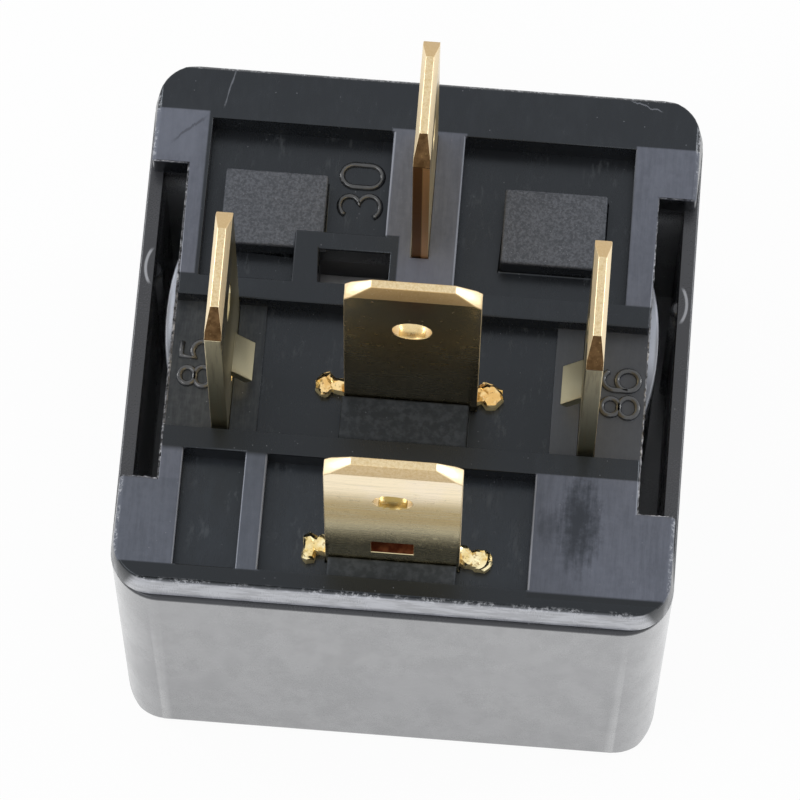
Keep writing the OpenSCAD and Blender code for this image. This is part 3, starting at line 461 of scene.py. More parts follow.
def cut_finish():
    """Sheared tips of the brass: pale and torn, in fine grain, with painted glints."""
    f = Finish("sheared_brass_finish_and_painted_glints", Metallic=1.0)
    torn = f.noise(7.0, 4.0, 0.7)
    grit = f.noise(16.0, 2.0, 0.7)
    streak = f.noise((6.0, 6.0, 0.5), 4.0, 0.6)
    painted_glint = f.cells(9.0).ramp(0.22, 0.08) * torn.ramp(0.45, 0.6)
    side_on, front_on, upward = f.facing()
    slope = upward.ramp(0.85, 0.5)
    colour = f.mix(torn.ramp(0.38, 0.66), (0.80, 0.66, 0.42), (0.68, 0.52, 0.28))
    colour = f.mix(grit.ramp(0.45, 0.62) * 0.32, colour, (0.55, 0.40, 0.20))
    colour = f.mix(abs(side_on).ramp(0.25, 0.5) * 0.8, colour, (1.0, 0.84, 0.57))
    bevel = abs(front_on).ramp(0.25, 0.5) * (0.3 + f.y.ramp(-8.0, -6.0) * 0.45)
    colour = f.mix(bevel, colour, (0.56, 0.38, 0.17))
    colour = f.mix(painted_glint * 0.7, colour, (1.0, 0.95, 0.82))
    return f.feed(Base_Color=colour, Roughness=0.2 + torn * 0.14 + grit * 0.08 + slope * 0.24,
                  Normal=f.bump(torn * 0.5 + streak * 0.3 + grit * 0.3, 0.025, 0.6))


def corner_painted_reflection(s):
    """Cut corners of the edge-on blades: brown and dull, with a painted dark reflection in their colour.
    """
    f = Finish("corner_brass_painted_reflection", Metallic=1.0)
    torn = f.noise(6.0, 4.0, 0.7)
    mottled_painted_light = f.noise(2.0, 3.0, 0.6)
    colour = f.mix(mottled_painted_light.ramp(0.3, 0.75), s.painted_corner_dark, s.painted_corner_light)
    colour = f.mix(torn.ramp(0.58, 0.7) * 0.2, colour, s.brass_deep)
    return f.feed(Base_Color=colour, Roughness=0.42 + torn * 0.2, Normal=f.bump(torn, 0.02, 0.35))


def shank_finish():
    """Upright sheared edges: olive above, darker and browner down to the plastic."""
    f = Finish("shank_brass_finish", Metallic=1.0)
    drawn = f.noise((7.0, 7.0, 0.4), 4.0, 0.6)
    torn = f.noise(5.0, 3.0, 0.6)
    near = f.y.ramp(1.4, 1.7) * f.y.ramp(8.0, 7.0) * abs(f.x).ramp(5.0, 4.0)
    right = f.x.ramp(0.12, 0.2) * near
    colour = f.mix(f.z.ramp(TOP + 1.0, TOP + 9.0), (0.36, 0.33, 0.19), (0.86, 0.77, 0.50))
    colour = f.mix(drawn.ramp(0.45, 0.65) * 0.4, colour, (0.44, 0.34, 0.18))
    colour = f.mix(near, colour, f.mix(right, (0.32, 0.15, 0.055), (1.0, 0.60, 0.30)))
    return f.feed(Base_Color=colour, Roughness=0.26 + torn * 0.16 + near * 0.1,
                  Normal=f.bump(drawn * 0.6 + torn * 0.4, 0.03, 0.6))


def window_finish():
    """Walls of the small window in blade 87: red-brown and shaded."""
    f = Finish("window_brass_finish", Metallic=1.0)
    haze = f.noise(2.2, 3.0, 0.6)
    colour = f.mix(haze.ramp(0.35, 0.65), (0.15, 0.040, 0.018), (0.30, 0.11, 0.045))
    return f.feed(Base_Color=colour, Roughness=0.4 + haze * 0.1, Normal=f.bump(haze, 0.02, 0.5))


def staked_finish():
    """Brass that was crushed over by the staking tool."""
    f = Finish("staked_brass_finish", Metallic=1.0)
    dents = f.noise(2.0, 2.0, 0.5)
    torn = f.noise(5.0, 3.0, 0.6)
    rear = f.y.ramp(-8.0, -6.0)
    colour = f.mix(dents.ramp(0.35, 0.65), f.mix(rear, (0.97, 0.86, 0.54), (0.95, 0.72, 0.36)),
                   f.mix(rear, (0.84, 0.66, 0.30), (0.80, 0.50, 0.18)))
    colour = f.mix(torn.ramp(0.56, 0.7) * 0.7, colour, (0.30, 0.17, 0.06))
    upright = f.facing()[2].ramp(0.6, 0.2)
    colour = f.mix(upright, colour, (1.0, 0.86, 0.52))
    return f.feed(Base_Color=colour, Roughness=0.1 + torn * 0.14 + upright * 0.45,
                  Normal=f.bump(dents * 0.8 + torn * 0.25, 0.08, 0.6))


def flash_finish(s):
    """Torn plastic, pale where it is stretched thin."""
    f = Finish("flash_plastic_finish", IOR=1.46)
    torn = f.noise(4.0, 4.0, 0.7)
    run = f.noise(0.8, 3.0, 0.6)
    colour = f.mix(torn.ramp(0.36, 0.56), s.header_sheen, (0.22, 0.225, 0.245))
    colour = f.mix(run.ramp(0.48, 0.58) * torn.ramp(0.46, 0.56) * 0.8, colour, (0.62, 0.63, 0.66))
    return f.feed(Base_Color=colour, Roughness=0.35 + torn * 0.3, Normal=f.bump(torn, 0.05, 0.7))


def raised_finish():
    """Glossy plastic of the raised figures."""
    f = Finish("number_plastic_finish", IOR=1.7)
    grain = f.noise(6.0, 3.0, 0.6)
    cloud = f.noise(1.2, 3.0, 0.5)
    colour = f.mix(cloud.ramp(0.3, 0.7), (0.020, 0.022, 0.025), (0.044, 0.047, 0.052))
    return f.feed(Base_Color=colour, Roughness=0.12 + grain * 0.14, Normal=f.bump(grain, 0.01, 0.4))


def darker(tone, share):
    """A share of a colour."""
    return tuple(share * c for c in tone)


def iron_finish(name, tone, streak_axis=(0.5, 6.0, 6.0), scale=0.4):
    """Plated or rolled metal inside the cover, with the marks of its rolling or turning."""
    f = Finish(name, Metallic=1.0)
    mill = f.noise(streak_axis, 4.0, 0.6)
    cloud = f.noise(scale, 4.0, 0.6)
    stain = f.noise(1.1, 3.0, 0.6).ramp(0.58, 0.75)
    colour = f.mix(cloud.ramp(0.3, 0.7), tone, darker(tone, 0.62))
    colour = f.mix(stain * 0.35, colour, (0.22, 0.17, 0.12))
    return f.feed(Base_Color=colour, Roughness=0.3 + mill * 0.16 + cloud * 0.1 + stain * 0.1,
                  Normal=f.bump(mill * 0.7 + cloud * 0.3, 0.02, 0.5))


def bobbin_finish(s):
    """Pale plastic with short glass fibres in it."""
    f = Finish("bobbin_plastic_finish", IOR=1.52)
    cloud = f.noise(0.35, 4.0, 0.6)
    flow = f.noise((1.5, 1.5, 0.2), 3.0, 0.6)
    fibres = f.noise((6.0, 1.2, 6.0), 2.0, 0.7)
    colour = f.mix(cloud.ramp(0.3, 0.7), s.bobbin, darker(s.bobbin, 0.86))
    colour = f.mix(fibres.ramp(0.6, 0.8) * 0.3, colour, (0.86, 0.84, 0.78))
    return f.feed(Base_Color=colour, Roughness=0.4 + flow * 0.2,
                  Normal=f.bump(flow + fibres * 0.4, 0.02, 0.4))


def winding_finish(s):
    """Enamelled wire wound turn on turn."""
    f = Finish("winding_copper_finish_and_painted_shade", Metallic=1.0, Coat_Weight=0.6, Coat_Roughness=0.15)
    turn = (f.z * TURNS + f.noise(0.5, 1.0) * 1.5).sine()
    cloud = f.noise(0.5, 3.0, 0.6)
    colour = f.mix(cloud.ramp(0.3, 0.7), s.copper, darker(s.copper, 0.7))
    # Painted shade in the grooves between the turns of wire
    colour = f.mix(turn.ramp(-0.2, -1.0) * 0.7, colour, (0.09, 0.03, 0.015))
    return f.feed(Base_Color=colour, Roughness=0.28 + cloud * 0.12, Normal=f.bump(turn, 0.03, 0.8))


def wire_finish(s):
    """Enamelled wire of the two leads, scuffed through in places."""
    f = Finish("lead_wire_finish", Metallic=1.0, Coat_Weight=0.6, Coat_Roughness=0.12)
    cloud = f.noise(1.4, 3.0, 0.6)
    scuffs_and_sheen = f.noise((5.0, 5.0, 5.0), 3.0, 0.6).ramp(0.56, 0.7)
    colour = f.mix(cloud.ramp(0.3, 0.7), s.copper, darker(s.copper, 0.75))
    colour = f.mix(scuffs_and_sheen * 0.4, colour, (0.86, 0.5, 0.3))
    return f.feed(Base_Color=colour, Roughness=0.22 + scuffs_and_sheen * 0.2,
                  Normal=f.bump(cloud + scuffs_and_sheen, 0.01, 0.4))


def tape_finish(s):
    """Clear amber tape: the turns show through it, and it ends in a seam."""
    f = Finish("coil_tape_finish", IOR=1.48, Coat_Weight=0.5, Coat_Roughness=0.1)
    under = (f.z * TURNS).sine()
    wrinkle = f.noise((0.8, 0.8, 0.25), 4.0, 0.6, distortion=0.6)
    seam = abs(f.x - 1.2).ramp(0.25, 0.05) * f.y.ramp(0.0, -1.0)
    colour = f.mix(wrinkle.ramp(0.35, 0.7), s.tape, darker(s.tape, 0.66))
    colour = f.mix(seam * 0.6, colour, (0.28, 0.13, 0.02))
    return f.feed(Base_Color=colour, Roughness=0.25 + wrinkle * 0.15,
                  Normal=f.bump(wrinkle + under * 0.12 + seam * 0.5, 0.03, 0.5))


def silver_finish():
    """Turned silver of the contacts, a little tarnished."""
    f = Finish("contact_silver_finish", Metallic=1.0)
    cloud = f.noise(1.2, 4.0, 0.6)
    turned = f.noise(6.0, 3.0, 0.6)
    tarnish = f.noise(2.6, 3.0, 0.6).ramp(0.5, 0.72)
    colour = f.mix(cloud.ramp(0.3, 0.7), (0.86, 0.85, 0.82), (0.74, 0.73, 0.69))
    colour = f.mix(tarnish * 0.35, colour, (0.42, 0.36, 0.27))
    return f.feed(Base_Color=colour, Roughness=0.24 + turned * 0.14 + tarnish * 0.1,
                  Normal=f.bump(turned + cloud, 0.01, 0.5))


# ---- modelling helpers ----

def deselect():
    """Leaves edit mode and deselects everything."""
    if bpy.context.mode != "OBJECT":
        bpy.ops.object.mode_set(mode="OBJECT")
    for obj in list(bpy.context.selected_objects):
        obj.select_set(False)


def make_active(obj):
    """Selects one object alone."""
    deselect()
    obj.select_set(True)
    bpy.context.view_layer.objects.active = obj


def select_points(obj, test):
    """Selects, from object mode, only the points that pass the test."""
    mesh = obj.data
    for part in (mesh.edges, mesh.polygons):
        part.foreach_set("select", [False] * len(part))
    for point in mesh.vertices:
        point.select = test(point.co)
    mesh.update()


def moulded_copy(node, name):
    """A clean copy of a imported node: doubles merged, flat areas in one face."""
    obj = bpy.data.objects.new(name, NODES[node].data.copy())
    bpy.context.scene.collection.objects.link(obj)
    obj.data.materials.clear()
    make_active(obj)
    bpy.ops.mesh.customdata_custom_splitnormals_clear()
    bpy.ops.object.mode_set(mode="EDIT")
    bpy.ops.mesh.select_mode(type="VERT")
    bpy.ops.mesh.select_all(action="SELECT")
    bpy.ops.mesh.remove_doubles(threshold=2e-6)
    bpy.ops.mesh.dissolve_limited(angle_limit=math.radians(0.6))
    bpy.ops.object.mode_set(mode="OBJECT")
    return obj


def weigh_edges(obj, angle, thin):
    """Marks the sharp outer edges for rounding: lightly inside the thin areas, fully elsewhere."""
    mesh = obj.data
    sides = {}
    for face in mesh.polygons:
        for key in face.edge_keys:
            sides.setdefault(key, []).append(face)
    weights = []
    for edge in mesh.edges:
        faces = sides.get(edge.key, ())
        sharp = (len(faces) == 2 and faces[0].normal.angle(faces[1].normal, 0.0) > angle
                 and faces[0].normal.dot(faces[1].center - faces[0].center) < 0)
        ends = [mesh.vertices[i].co / MM for i in edge.vertices]
        share = min([part for (x0, x1), (y0, y1), (z0, z1), part in thin
                     if all(x0 < p.x < x1 and y0 < p.y < y1 and z0 < p.z < z1 for p in ends)], default=1.0)
        weights.append(share if sharp else 0.0)
    mesh.attributes.new("bevel_weight_edge", "FLOAT", "EDGE").data.foreach_set("value", weights)


def round_edges(obj, width, segments=2, angle=28.0, thin=()):
    """Rounds the sharp edges by a small radius and keeps the flats flat."""
    make_active(obj)
    weigh_edges(obj, math.radians(angle), thin)
    mod = obj.modifiers.new("edges", "BEVEL")
    mod.width = width
    mod.segments = segments
    mod.limit_method = "WEIGHT"
    mod.use_clamp_overlap = False
    bpy.ops.object.modifier_apply(modifier=mod.name)
    bpy.ops.object.shade_smooth_by_angle(angle=math.radians(50))
    flat = obj.modifiers.new("flats", "WEIGHTED_NORMAL")
    flat.mode = "FACE_AREA"
    flat.weight = 100
    flat.keep_sharp = True
    bpy.ops.object.modifier_apply(modifier=flat.name)


def finish_piece(obj, slot, *nodes):
    """Every new piece stays with the case; some of them stand for a node."""
    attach(obj, "case")
    if nodes:
        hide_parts(*nodes)


def dress(node, material):
    """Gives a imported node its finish."""
    obj = NODES[node]
    if not obj.material_slots:
        obj.data.materials.append(material)
    for slot in obj.material_slots:
        slot.material = material


def stroke(points, name):
    """A line of edges drawn by extruding one point along a path of X, Y and Z places."""
    bpy.ops.mesh.primitive_plane_add(size=MM, location=points[0])
    obj = bpy.context.object
    obj.name = name
    bpy.ops.object.mode_set(mode="EDIT")
    bpy.ops.mesh.select_all(action="SELECT")
    bpy.ops.mesh.merge(type="CENTER")
    for before, after in zip(points, points[1:]):
        step = Vector(after) - Vector(before)
        bpy.ops.mesh.extrude_vertices_move(TRANSFORM_OT_translate={"value": step})
    bpy.ops.mesh.select_all(action="SELECT")
    bpy.ops.mesh.remove_doubles(threshold=0.01 * MM)
    bpy.ops.object.mode_set(mode="OBJECT")
    bpy.ops.object.transform_apply(location=True, rotation=True, scale=True)
    return obj


def join(parts):
    """Joins pieces into the first of them."""
    deselect()
    for part in parts:
        part.select_set(True)
    bpy.context.view_layer.objects.active = parts[0]
    bpy.ops.object.join()
    return bpy.context.object


# ---- sizes and colours ----

def tone(name, description, *default):
    """A colour to choose."""
    return FloatVectorProperty(name=name, description=description, default=default, subtype="COLOR")


def length(name, description, millimetres):
    """A size to choose, with its default in millimetres."""
    return FloatProperty(name=name, description=description, default=millimetres * MM, unit="LENGTH")


def power(name, description, watts):
    """A lamp's power to choose."""
    return FloatProperty(name=name, description=description, default=watts, unit="POWER")


class StageSettings(bpy.types.PropertyGroup):
    lens: FloatProperty(name="Lens", description="Focal length of the camera",
                        default=249.84, unit="CAMERA")
    eye: FloatVectorProperty(name="Camera place", description="Where the camera stands",
                             default=(0.0059028, -0.0922574, 0.2739865),
                             subtype="TRANSLATION", unit="LENGTH")
    turn: FloatVectorProperty(name="Camera turn", description="How the camera is turned",
                              default=tuple(math.radians(a) for a in (19.5491, -0.2073, 4.5494)),
                              subtype="EULER", unit="ROTATION")
    key_power: power("Key light", "Power of the soft light in front of the relay", 0.5)
    side_power: power("Side lights", "Power of the two soft side lights", 0.45)
    ambient: FloatProperty(name="Ambient", description="Strength of the light from all round",
                           default=0.8)


class PlasticSettings(bpy.types.PropertyGroup):
    header_dark: tone("Header", "Darkest tone of the header plastic", 0.0050, 0.0056, 0.0070)
    header_sheen: tone("Header sheen", "Lightest tone of the smooth header", 0.0095, 0.0108, 0.0130)
    pad_dark: tone("Pad low", "Dark tone of the brushed pads", 0.078, 0.084, 0.106)
    pad_light: tone("Pad high", "Light tone of the brushed pads", 0.112, 0.120, 0.150)
    cover_dark: tone("Cover", "Dark tone of the cover", 0.016, 0.0165, 0.019)
    cover_light: tone("Cover sheen", "Light tone of the cover", 0.028, 0.029, 0.033)
    # Colour of the painted highlight on the edge of the header flange
    rim: tone("Rim", "Tone of the scuffed edge of the header flange", 0.40, 0.41, 0.45)
    spread: length("Flange spread", "How far the header flange widens downwards", 0.22)
    sheen_tint: tone("Sheen tint", "Tint of the plastic's reflections", 0.82, 0.90, 1.0)
    pocket: tone("Pocket", "Tone of the cover inside its pockets and rim", 0.030, 0.031, 0.034)
    edge: length("Edge radius", "Radius of the moulded edges", 0.11)


class MetalSettings(bpy.types.PropertyGroup):
    brass: tone("Brass", "Main tone of the blades", 0.80, 0.60, 0.29)
    brass_pale: tone("Pale brass", "Light tone of the blades", 0.88, 0.74, 0.46)
    brass_deep: tone("Deep brass", "Dark tone of the rolling marks", 0.62, 0.43, 0.19)
    # Tones of the painted dark reflection on the cut corners
    painted_corner_dark: tone("Dark corner", "Dark tone of the cut corners", 0.072, 0.040, 0.017)
    painted_corner_light: tone("Light corner", "Light tone of the cut corners", 0.17, 0.100, 0.046)
    iron: tone("Iron", "Tone of the yoke, core and armature", 0.46, 0.46, 0.47)
    zinc: tone("Rivets", "Tone of the plated rivets", 0.62, 0.63, 0.65)
    bronze: tone("Spring", "Tone of the contact spring", 0.66, 0.40, 0.22)
    copper: tone("Copper", "Tone of the enamelled wire", 0.66, 0.26, 0.11)
    edge: length("Edge radius", "Radius of the stamped edges", 0.05)
    blade_width: length("Blade width", "Width of the flat blades", 6.4)
    plane_87: length("Place of 87", "Middle plane of blade 87", -10.9)
    plane_87a: length("Place of 87a", "Middle plane of blade 87a", -2.76)
    shift_87a: length("Shift of 87a", "Blade 87a stands this far to the right", 0.23)
    lug_height: length("Lug height", "Height of the staked lugs", 0.62)


class CoilSettings(bpy.types.PropertyGroup):
    bobbin: tone("Bobbin", "Tone of the bobbin plastic", 0.66, 0.62, 0.52)
    tape: tone("Tape", "Tone of the coil tape", 0.62, 0.32, 0.05)


class NumberSettings(bpy.types.PropertyGroup):
    stroke: length("Stroke", "Width of the raised strokes of the numbers", 0.30)
    height: length("Height", "Height of the strokes above the plastic", 0.16)


# ---- operators ----

class RELAY_OT_stage(bpy.types.Operator):
    """Camera, floor, soft lights and the world round the relay"""

    bl_idname = "relay.stage"
    bl_label = "Stage"

    AIM = (0, 0, 0.015)
    PAPER = (0.80, 0.80, 0.80, 1.0)
    WHITE_SHARE = 0.95

    def execute(self, context):
        s = context.scene.relay_stage
        deselect()
        bpy.ops.object.camera_add(location=s.eye, rotation=s.turn)
        camera = context.object
        camera.name = "camera"
        camera.data.lens = s.lens
        camera.data.sensor_width = 36.0
        camera.data.clip_start = 0.01
        camera.data.clip_end = 10.0
        context.scene.camera = camera

        deselect()
        bpy.ops.mesh.primitive_plane_add(size=3.0, location=(0, 0, COVER_LOW.z))
        floor = context.object
        floor.name = "floor"
        bpy.ops.object.transform_apply(location=True, rotation=True, scale=True)
        floor.data.materials.append(self.floor_material())

        for name, place, watts, size in (
                ("left", (-0.44, 0.16, 0.18), s.side_power, 0.13),
                ("right", (0.44, 0.16, 0.18), s.side_power, 0.13),
                ("above", (-0.26, -0.16, 0.42), s.key_power, 0.24)):
            lamp = bpy.data.lights.new(name, "AREA")
            lamp.energy = watts
            lamp.size = size
            holder = bpy.data.objects.new(name, lamp)
            context.scene.collection.objects.link(holder)
            holder.location = place
            beam = Vector(self.AIM) - Vector(place)
            holder.rotation_euler = beam.to_track_quat("-Z", "Y").to_euler()

        context.scene.world = context.scene.world or bpy.data.worlds.new("world")
        world = Nodes(context.scene.world)
        lit = world.node("ShaderNodeBackground", "Background", {}, {
            "Color": (0.97, 0.98, 1.0, 1.0), "Strength": s.ambient})
        seen = world.node("ShaderNodeBackground", "Background", {}, {
            "Color": (1.0, 1.0, 1.0, 1.0), "Strength": 1.0})
        self.show(world, "ShaderNodeOutputWorld", lit, seen, self.seen_share(world))
        context.scene.view_settings.view_transform = "Standard"
        return {"FINISHED"}

    def floor_material(self):
        """Pale paper that takes the shadow and shows nearly white."""
        material = bpy.data.materials.new("floor_finish")
        floor = Nodes(material)
        paper = floor.node("ShaderNodeBsdfDiffuse", "BSDF", {}, {"Color": self.PAPER})
        white = floor.node("ShaderNodeEmission", "Emission", {}, {"Strength": 1.0})
        share = self.seen_share(floor) * self.WHITE_SHARE
        self.show(floor, "ShaderNodeOutputMaterial", paper, white, share)
        return material

    def seen_share(self, nodes):
        """1 for the camera and for reflections, 0 for the light that falls on the relay."""
        camera = nodes.node("ShaderNodeLightPath", "Is Camera Ray", {}, {})
        return camera.larger(nodes.beside(camera, "Is Glossy Ray"))

    def show(self, nodes, output, lit, seen, share):
        """Mixes the surface that gives light with the one that is seen."""
        mixed = nodes.node("ShaderNodeMixShader", "Shader", {}, {0: share, 1: lit, 2: seen})
        nodes.node(output, None, {}, {"Surface": mixed})


class RELAY_OT_header(bpy.types.Operator):
    """Header moulding with rounded edges"""

    bl_idname = "relay.header"
    bl_label = "Header"

    def execute(self, context):
        s = context.scene.relay_plastic
        obj = moulded_copy("header", "header_moulding")
        # The flange spreads a little down to the cover's rim
        foot = COVER_TOP.z
        select_points(obj, lambda p: abs(p.z - foot) < 0.05 * MM and abs(p.y) > 8.5 * MM
                      and (abs(p.y) > HEADER_TOP.y - 2.6 * MM or abs(p.x) > HEADER_TOP.x - 0.1 * MM)
                      and max(abs(p.x) - HEADER_TOP.x, abs(p.y) - HEADER_TOP.y) > -1.2 * MM)
        bpy.ops.object.mode_set(mode="EDIT")
        bpy.ops.mesh.select_mode(type="VERT")
        spread = (1 + 0.85 * s.spread / HEADER_TOP.x, 1 + s.spread / HEADER_TOP.y, 1)
        bpy.ops.transform.resize(value=spread, center_override=(0, 0, foot))
        bpy.ops.object.mode_set(mode="OBJECT")
        round_edges(obj, s.edge, 3, thin=THIN)
        obj.data.materials.append(header_finish(s))
        finish_piece(obj, "header_plastic", "header")
        return {"FINISHED"}


class RELAY_OT_cover(bpy.types.Operator):
    """Cover moulding with rounded edges"""

    bl_idname = "relay.cover"
    bl_label = "Cover"

    def execute(self, context):
        s = context.scene.relay_plastic
        obj = moulded_copy("cover", "cover_shell")
        round_edges(obj, s.edge * 1.4, 2)
        obj.data.materials.append(cover_finish(s))
        finish_piece(obj, "cover_plastic", "cover")
        return {"FINISHED"}


def blade_place(s, name):
    """Middle in X and plane in Y of blade 87 or 87a."""
    return (s.shift_87a, s.plane_87a) if "87a" in name else (0.0, s.plane_87)


class RELAY_OT_blades(bpy.types.Operator):
    """The five stamped terminals with rounded edges and sheared sides"""

    bl_idname = "relay.blades"
    bl_label = "Blades"

    ROLLED, SHEARED, CORNER, SHANK, WINDOW = range(5)

    def shrink_lugs(self, obj, s):
        """Draws the plain lugs in, so that the staked ones can stand in their place."""
        middle, plane = blade_place(s, obj.name)
        for side in (-1, 1):
            edge = middle + side * s.blade_width / 2
            select_points(obj, lambda p: (p.x - edge) * side > 0.02 * MM
                          and FRONT_FLOOR_Z - 0.1 * MM < p.z < TOP_Z)
            bpy.ops.object.mode_set(mode="EDIT")
            bpy.ops.mesh.select_mode(type="VERT")
            bpy.ops.transform.resize(value=(0.0, 0.5, 0.5),
                                     center_override=(edge, plane, FRONT_FLOOR_Z + 0.1 * MM))
            bpy.ops.mesh.select_all(action="SELECT")
            bpy.ops.mesh.remove_doubles(threshold=2e-6)
            bpy.ops.mesh.dissolve_degenerate(threshold=2e-6)
            bpy.ops.mesh.dissolve_limited(angle_limit=math.radians(0.6))
            bpy.ops.object.mode_set(mode="OBJECT")

    def slot_of(self, obj, face, axis, node):
        """Rolled face, sheared tip, cut corner, upright edge or window wall."""
        normal, middle = face.normal, face.center / MM
        across = 0 if axis == "x" else 1
        if max(obj.data.vertices[i].co.z for i in face.vertices) / MM < TOP + 0.05:
            return self.ROLLED
        if node == "terminal_87" and abs(middle.x) < 1.05 and TOP + 0.3 < middle.z < TOP + 2.6:
            return self.WINDOW if middle.y > -11.22 else self.ROLLED
        if normal.z > 0.2 and middle.z > TIP - 2.4:
            # Only the cut corners that face the front take the painted dark reflection
            return self.CORNER if axis == "y" and normal[across] < -0.3 else self.SHEARED
        if abs(normal[across]) > 0.7:
            return self.SHANK if axis == "y" else self.SHEARED
        return self.ROLLED

    def execute(self, context):
        s = context.scene.relay_metal
        side = brass_finish("rolled_brass_side_finish_and_painted_shade", s, "y", dull=0.1, shade=1.0)
        faces = {"terminal_30": side, "terminal_85": side, "terminal_86": side,
                 "terminal_87": brass_finish("rolled_brass_front_finish_and_painted_reflection", s, "x", pale=1.0, tilt=6.0),
                 "terminal_87a": brass_finish("rolled_brass_finish_and_painted_reflection", s, "x", dim_painted_reflection=0.75)}
        others = (cut_finish(), corner_painted_reflection(s), shank_finish(), window_finish())
        for node, axis in (("terminal_30", "y"), ("terminal_85", "y"), ("terminal_86", "y"),
                           ("terminal_87", "x"), ("terminal_87a", "x")):
            obj = moulded_copy(node, node.replace("terminal", "blade"))
            thin = ()
            if axis == "x":
                self.shrink_lugs(obj, s)
                floor = FRONT_FLOOR_Z / MM
                thin = (((-9, -3.0), (-13, 0), (floor - 0.1, floor + 0.9), 0.0),
                        ((3.0, 9), (-13, 0), (floor - 0.1, floor + 0.9), 0.0))
            round_edges(obj, s.edge, 2, thin=thin)
            for material in (faces[node], *others):
                obj.data.materials.append(material)
            for face in obj.data.polygons:
                face.material_index = self.slot_of(obj, face, axis, node)
            finish_piece(obj, "terminal_brass", node)
        return {"FINISHED"}


class RELAY_OT_lugs(bpy.types.Operator):
    """The four lugs staked over on the header floor beside terminals 87 and 87a"""

    bl_idname = "relay.lugs"
    bl_label = "Lugs"

    # Outlines seen from above, in millimetres: distance from the blade's edge, and from its middle plane
    OUTLINES = {
        "lug_87a_left": ((-0.15, 0.32), (0.45, 0.34), (0.8, 0.62), (1.2, 0.55), (1.42, 0.2),
                         (1.38, -0.25), (1.1, -0.52), (0.8, -0.5), (0.6, -0.2), (0.45, -0.3),
                         (-0.15, -0.35)),
        "lug_87a_right": ((-0.15, 0.45), (0.2, 0.5), (0.4, 0.72), (0.9, 0.62), (1.3, 0.35),
                          (1.42, -0.1), (1.05, -0.5), (0.6, -0.55), (0.35, -0.25), (0.15, -0.35),
                          (-0.15, -0.35)),
        "lug_87_left": ((-0.15, 0.52), (0.45, 0.55), (0.62, 0.42), (0.95, 0.62), (1.28, 0.4),
                        (1.22, -0.2), (1.3, -0.6), (1.05, -0.85), (0.68, -0.75), (0.6, -0.3),
                        (0.45, -0.38), (-0.15, -0.4)),
        "lug_87_right": ((-0.15, 0.6), (0.25, 0.55), (0.45, 0.28), (0.8, 0.42), (1.2, 0.38),
                         (1.55, 0.1), (1.5, -0.4), (1.2, -0.68), (0.75, -0.62), (0.5, -0.45),
                         (0.25, -0.5), (-0.15, -0.2)),
    }

    def lug(self, name, outline, side, middle, plane, s, seed):
        """One crushed lug: its outline raised in two steps, then dented at random."""
        floor = FRONT_FLOOR_Z + 0.01 * MM
        edge = s.blade_width / 2
        # Two lugs stand closer to their blade, and all of them a little behind its middle plane
        inward = 0.15 * MM if name in ("lug_87_left", "lug_87a_right") else 0.0
        plane = plane + 0.24 * MM
        points = [(middle + side * (edge + u * MM - (inward if u > 0 else 0.0)), plane + v * MM, floor)
                  for u, v in outline]
        deselect()
        obj = stroke(points + points[:1], name)
        bpy.ops.object.mode_set(mode="EDIT")
        bpy.ops.mesh.select_mode(type="VERT")
        bpy.ops.mesh.select_all(action="SELECT")
        bpy.ops.mesh.edge_face_add()
        # Upright walls first, then a crown that draws in
        bpy.ops.mesh.extrude_region_move(TRANSFORM_OT_translate={"value": (0, 0, s.lug_height * 0.72)})
        bpy.ops.mesh.extrude_region_move(TRANSFORM_OT_translate={"value": (0, 0, s.lug_height * 0.28)})
        centre = (middle + side * (edge + 0.75 * MM), plane - 0.3 * MM, floor + s.lug_height)
        bpy.ops.transform.resize(value=(0.72, 0.72, 1.0), center_override=centre)
        bpy.ops.mesh.poke()
        bpy.ops.mesh.select_all(action="SELECT")
        bpy.ops.mesh.normals_make_consistent(inside=False)
        bpy.ops.mesh.quads_convert_to_tris()
        bpy.ops.mesh.subdivide(number_cuts=1, smoothness=0.2)
        # In one fixed order, so that each run moves the points alike
        bpy.ops.mesh.sort_elements(type="CURSOR_DISTANCE", elements={"VERT", "EDGE", "FACE"})
        bpy.ops.transform.vertex_random(offset=0.06 * MM, seed=seed)
        bpy.ops.object.mode_set(mode="OBJECT")
        bpy.ops.object.shade_smooth_by_angle(angle=math.radians(24))
        return obj

    def execute(self, context):
        s = context.scene.relay_metal
        finish = staked_finish()
        for seed, (name, outline) in enumerate(self.OUTLINES.items()):
            side = -1 if name.endswith("left") else 1
            middle, plane = blade_place(s, name)
            obj = self.lug(name, outline, side, middle, plane, s, seed + 3)
            obj.data.materials.append(finish)
            finish_piece(obj, "terminal_brass")
        return {"FINISHED"}


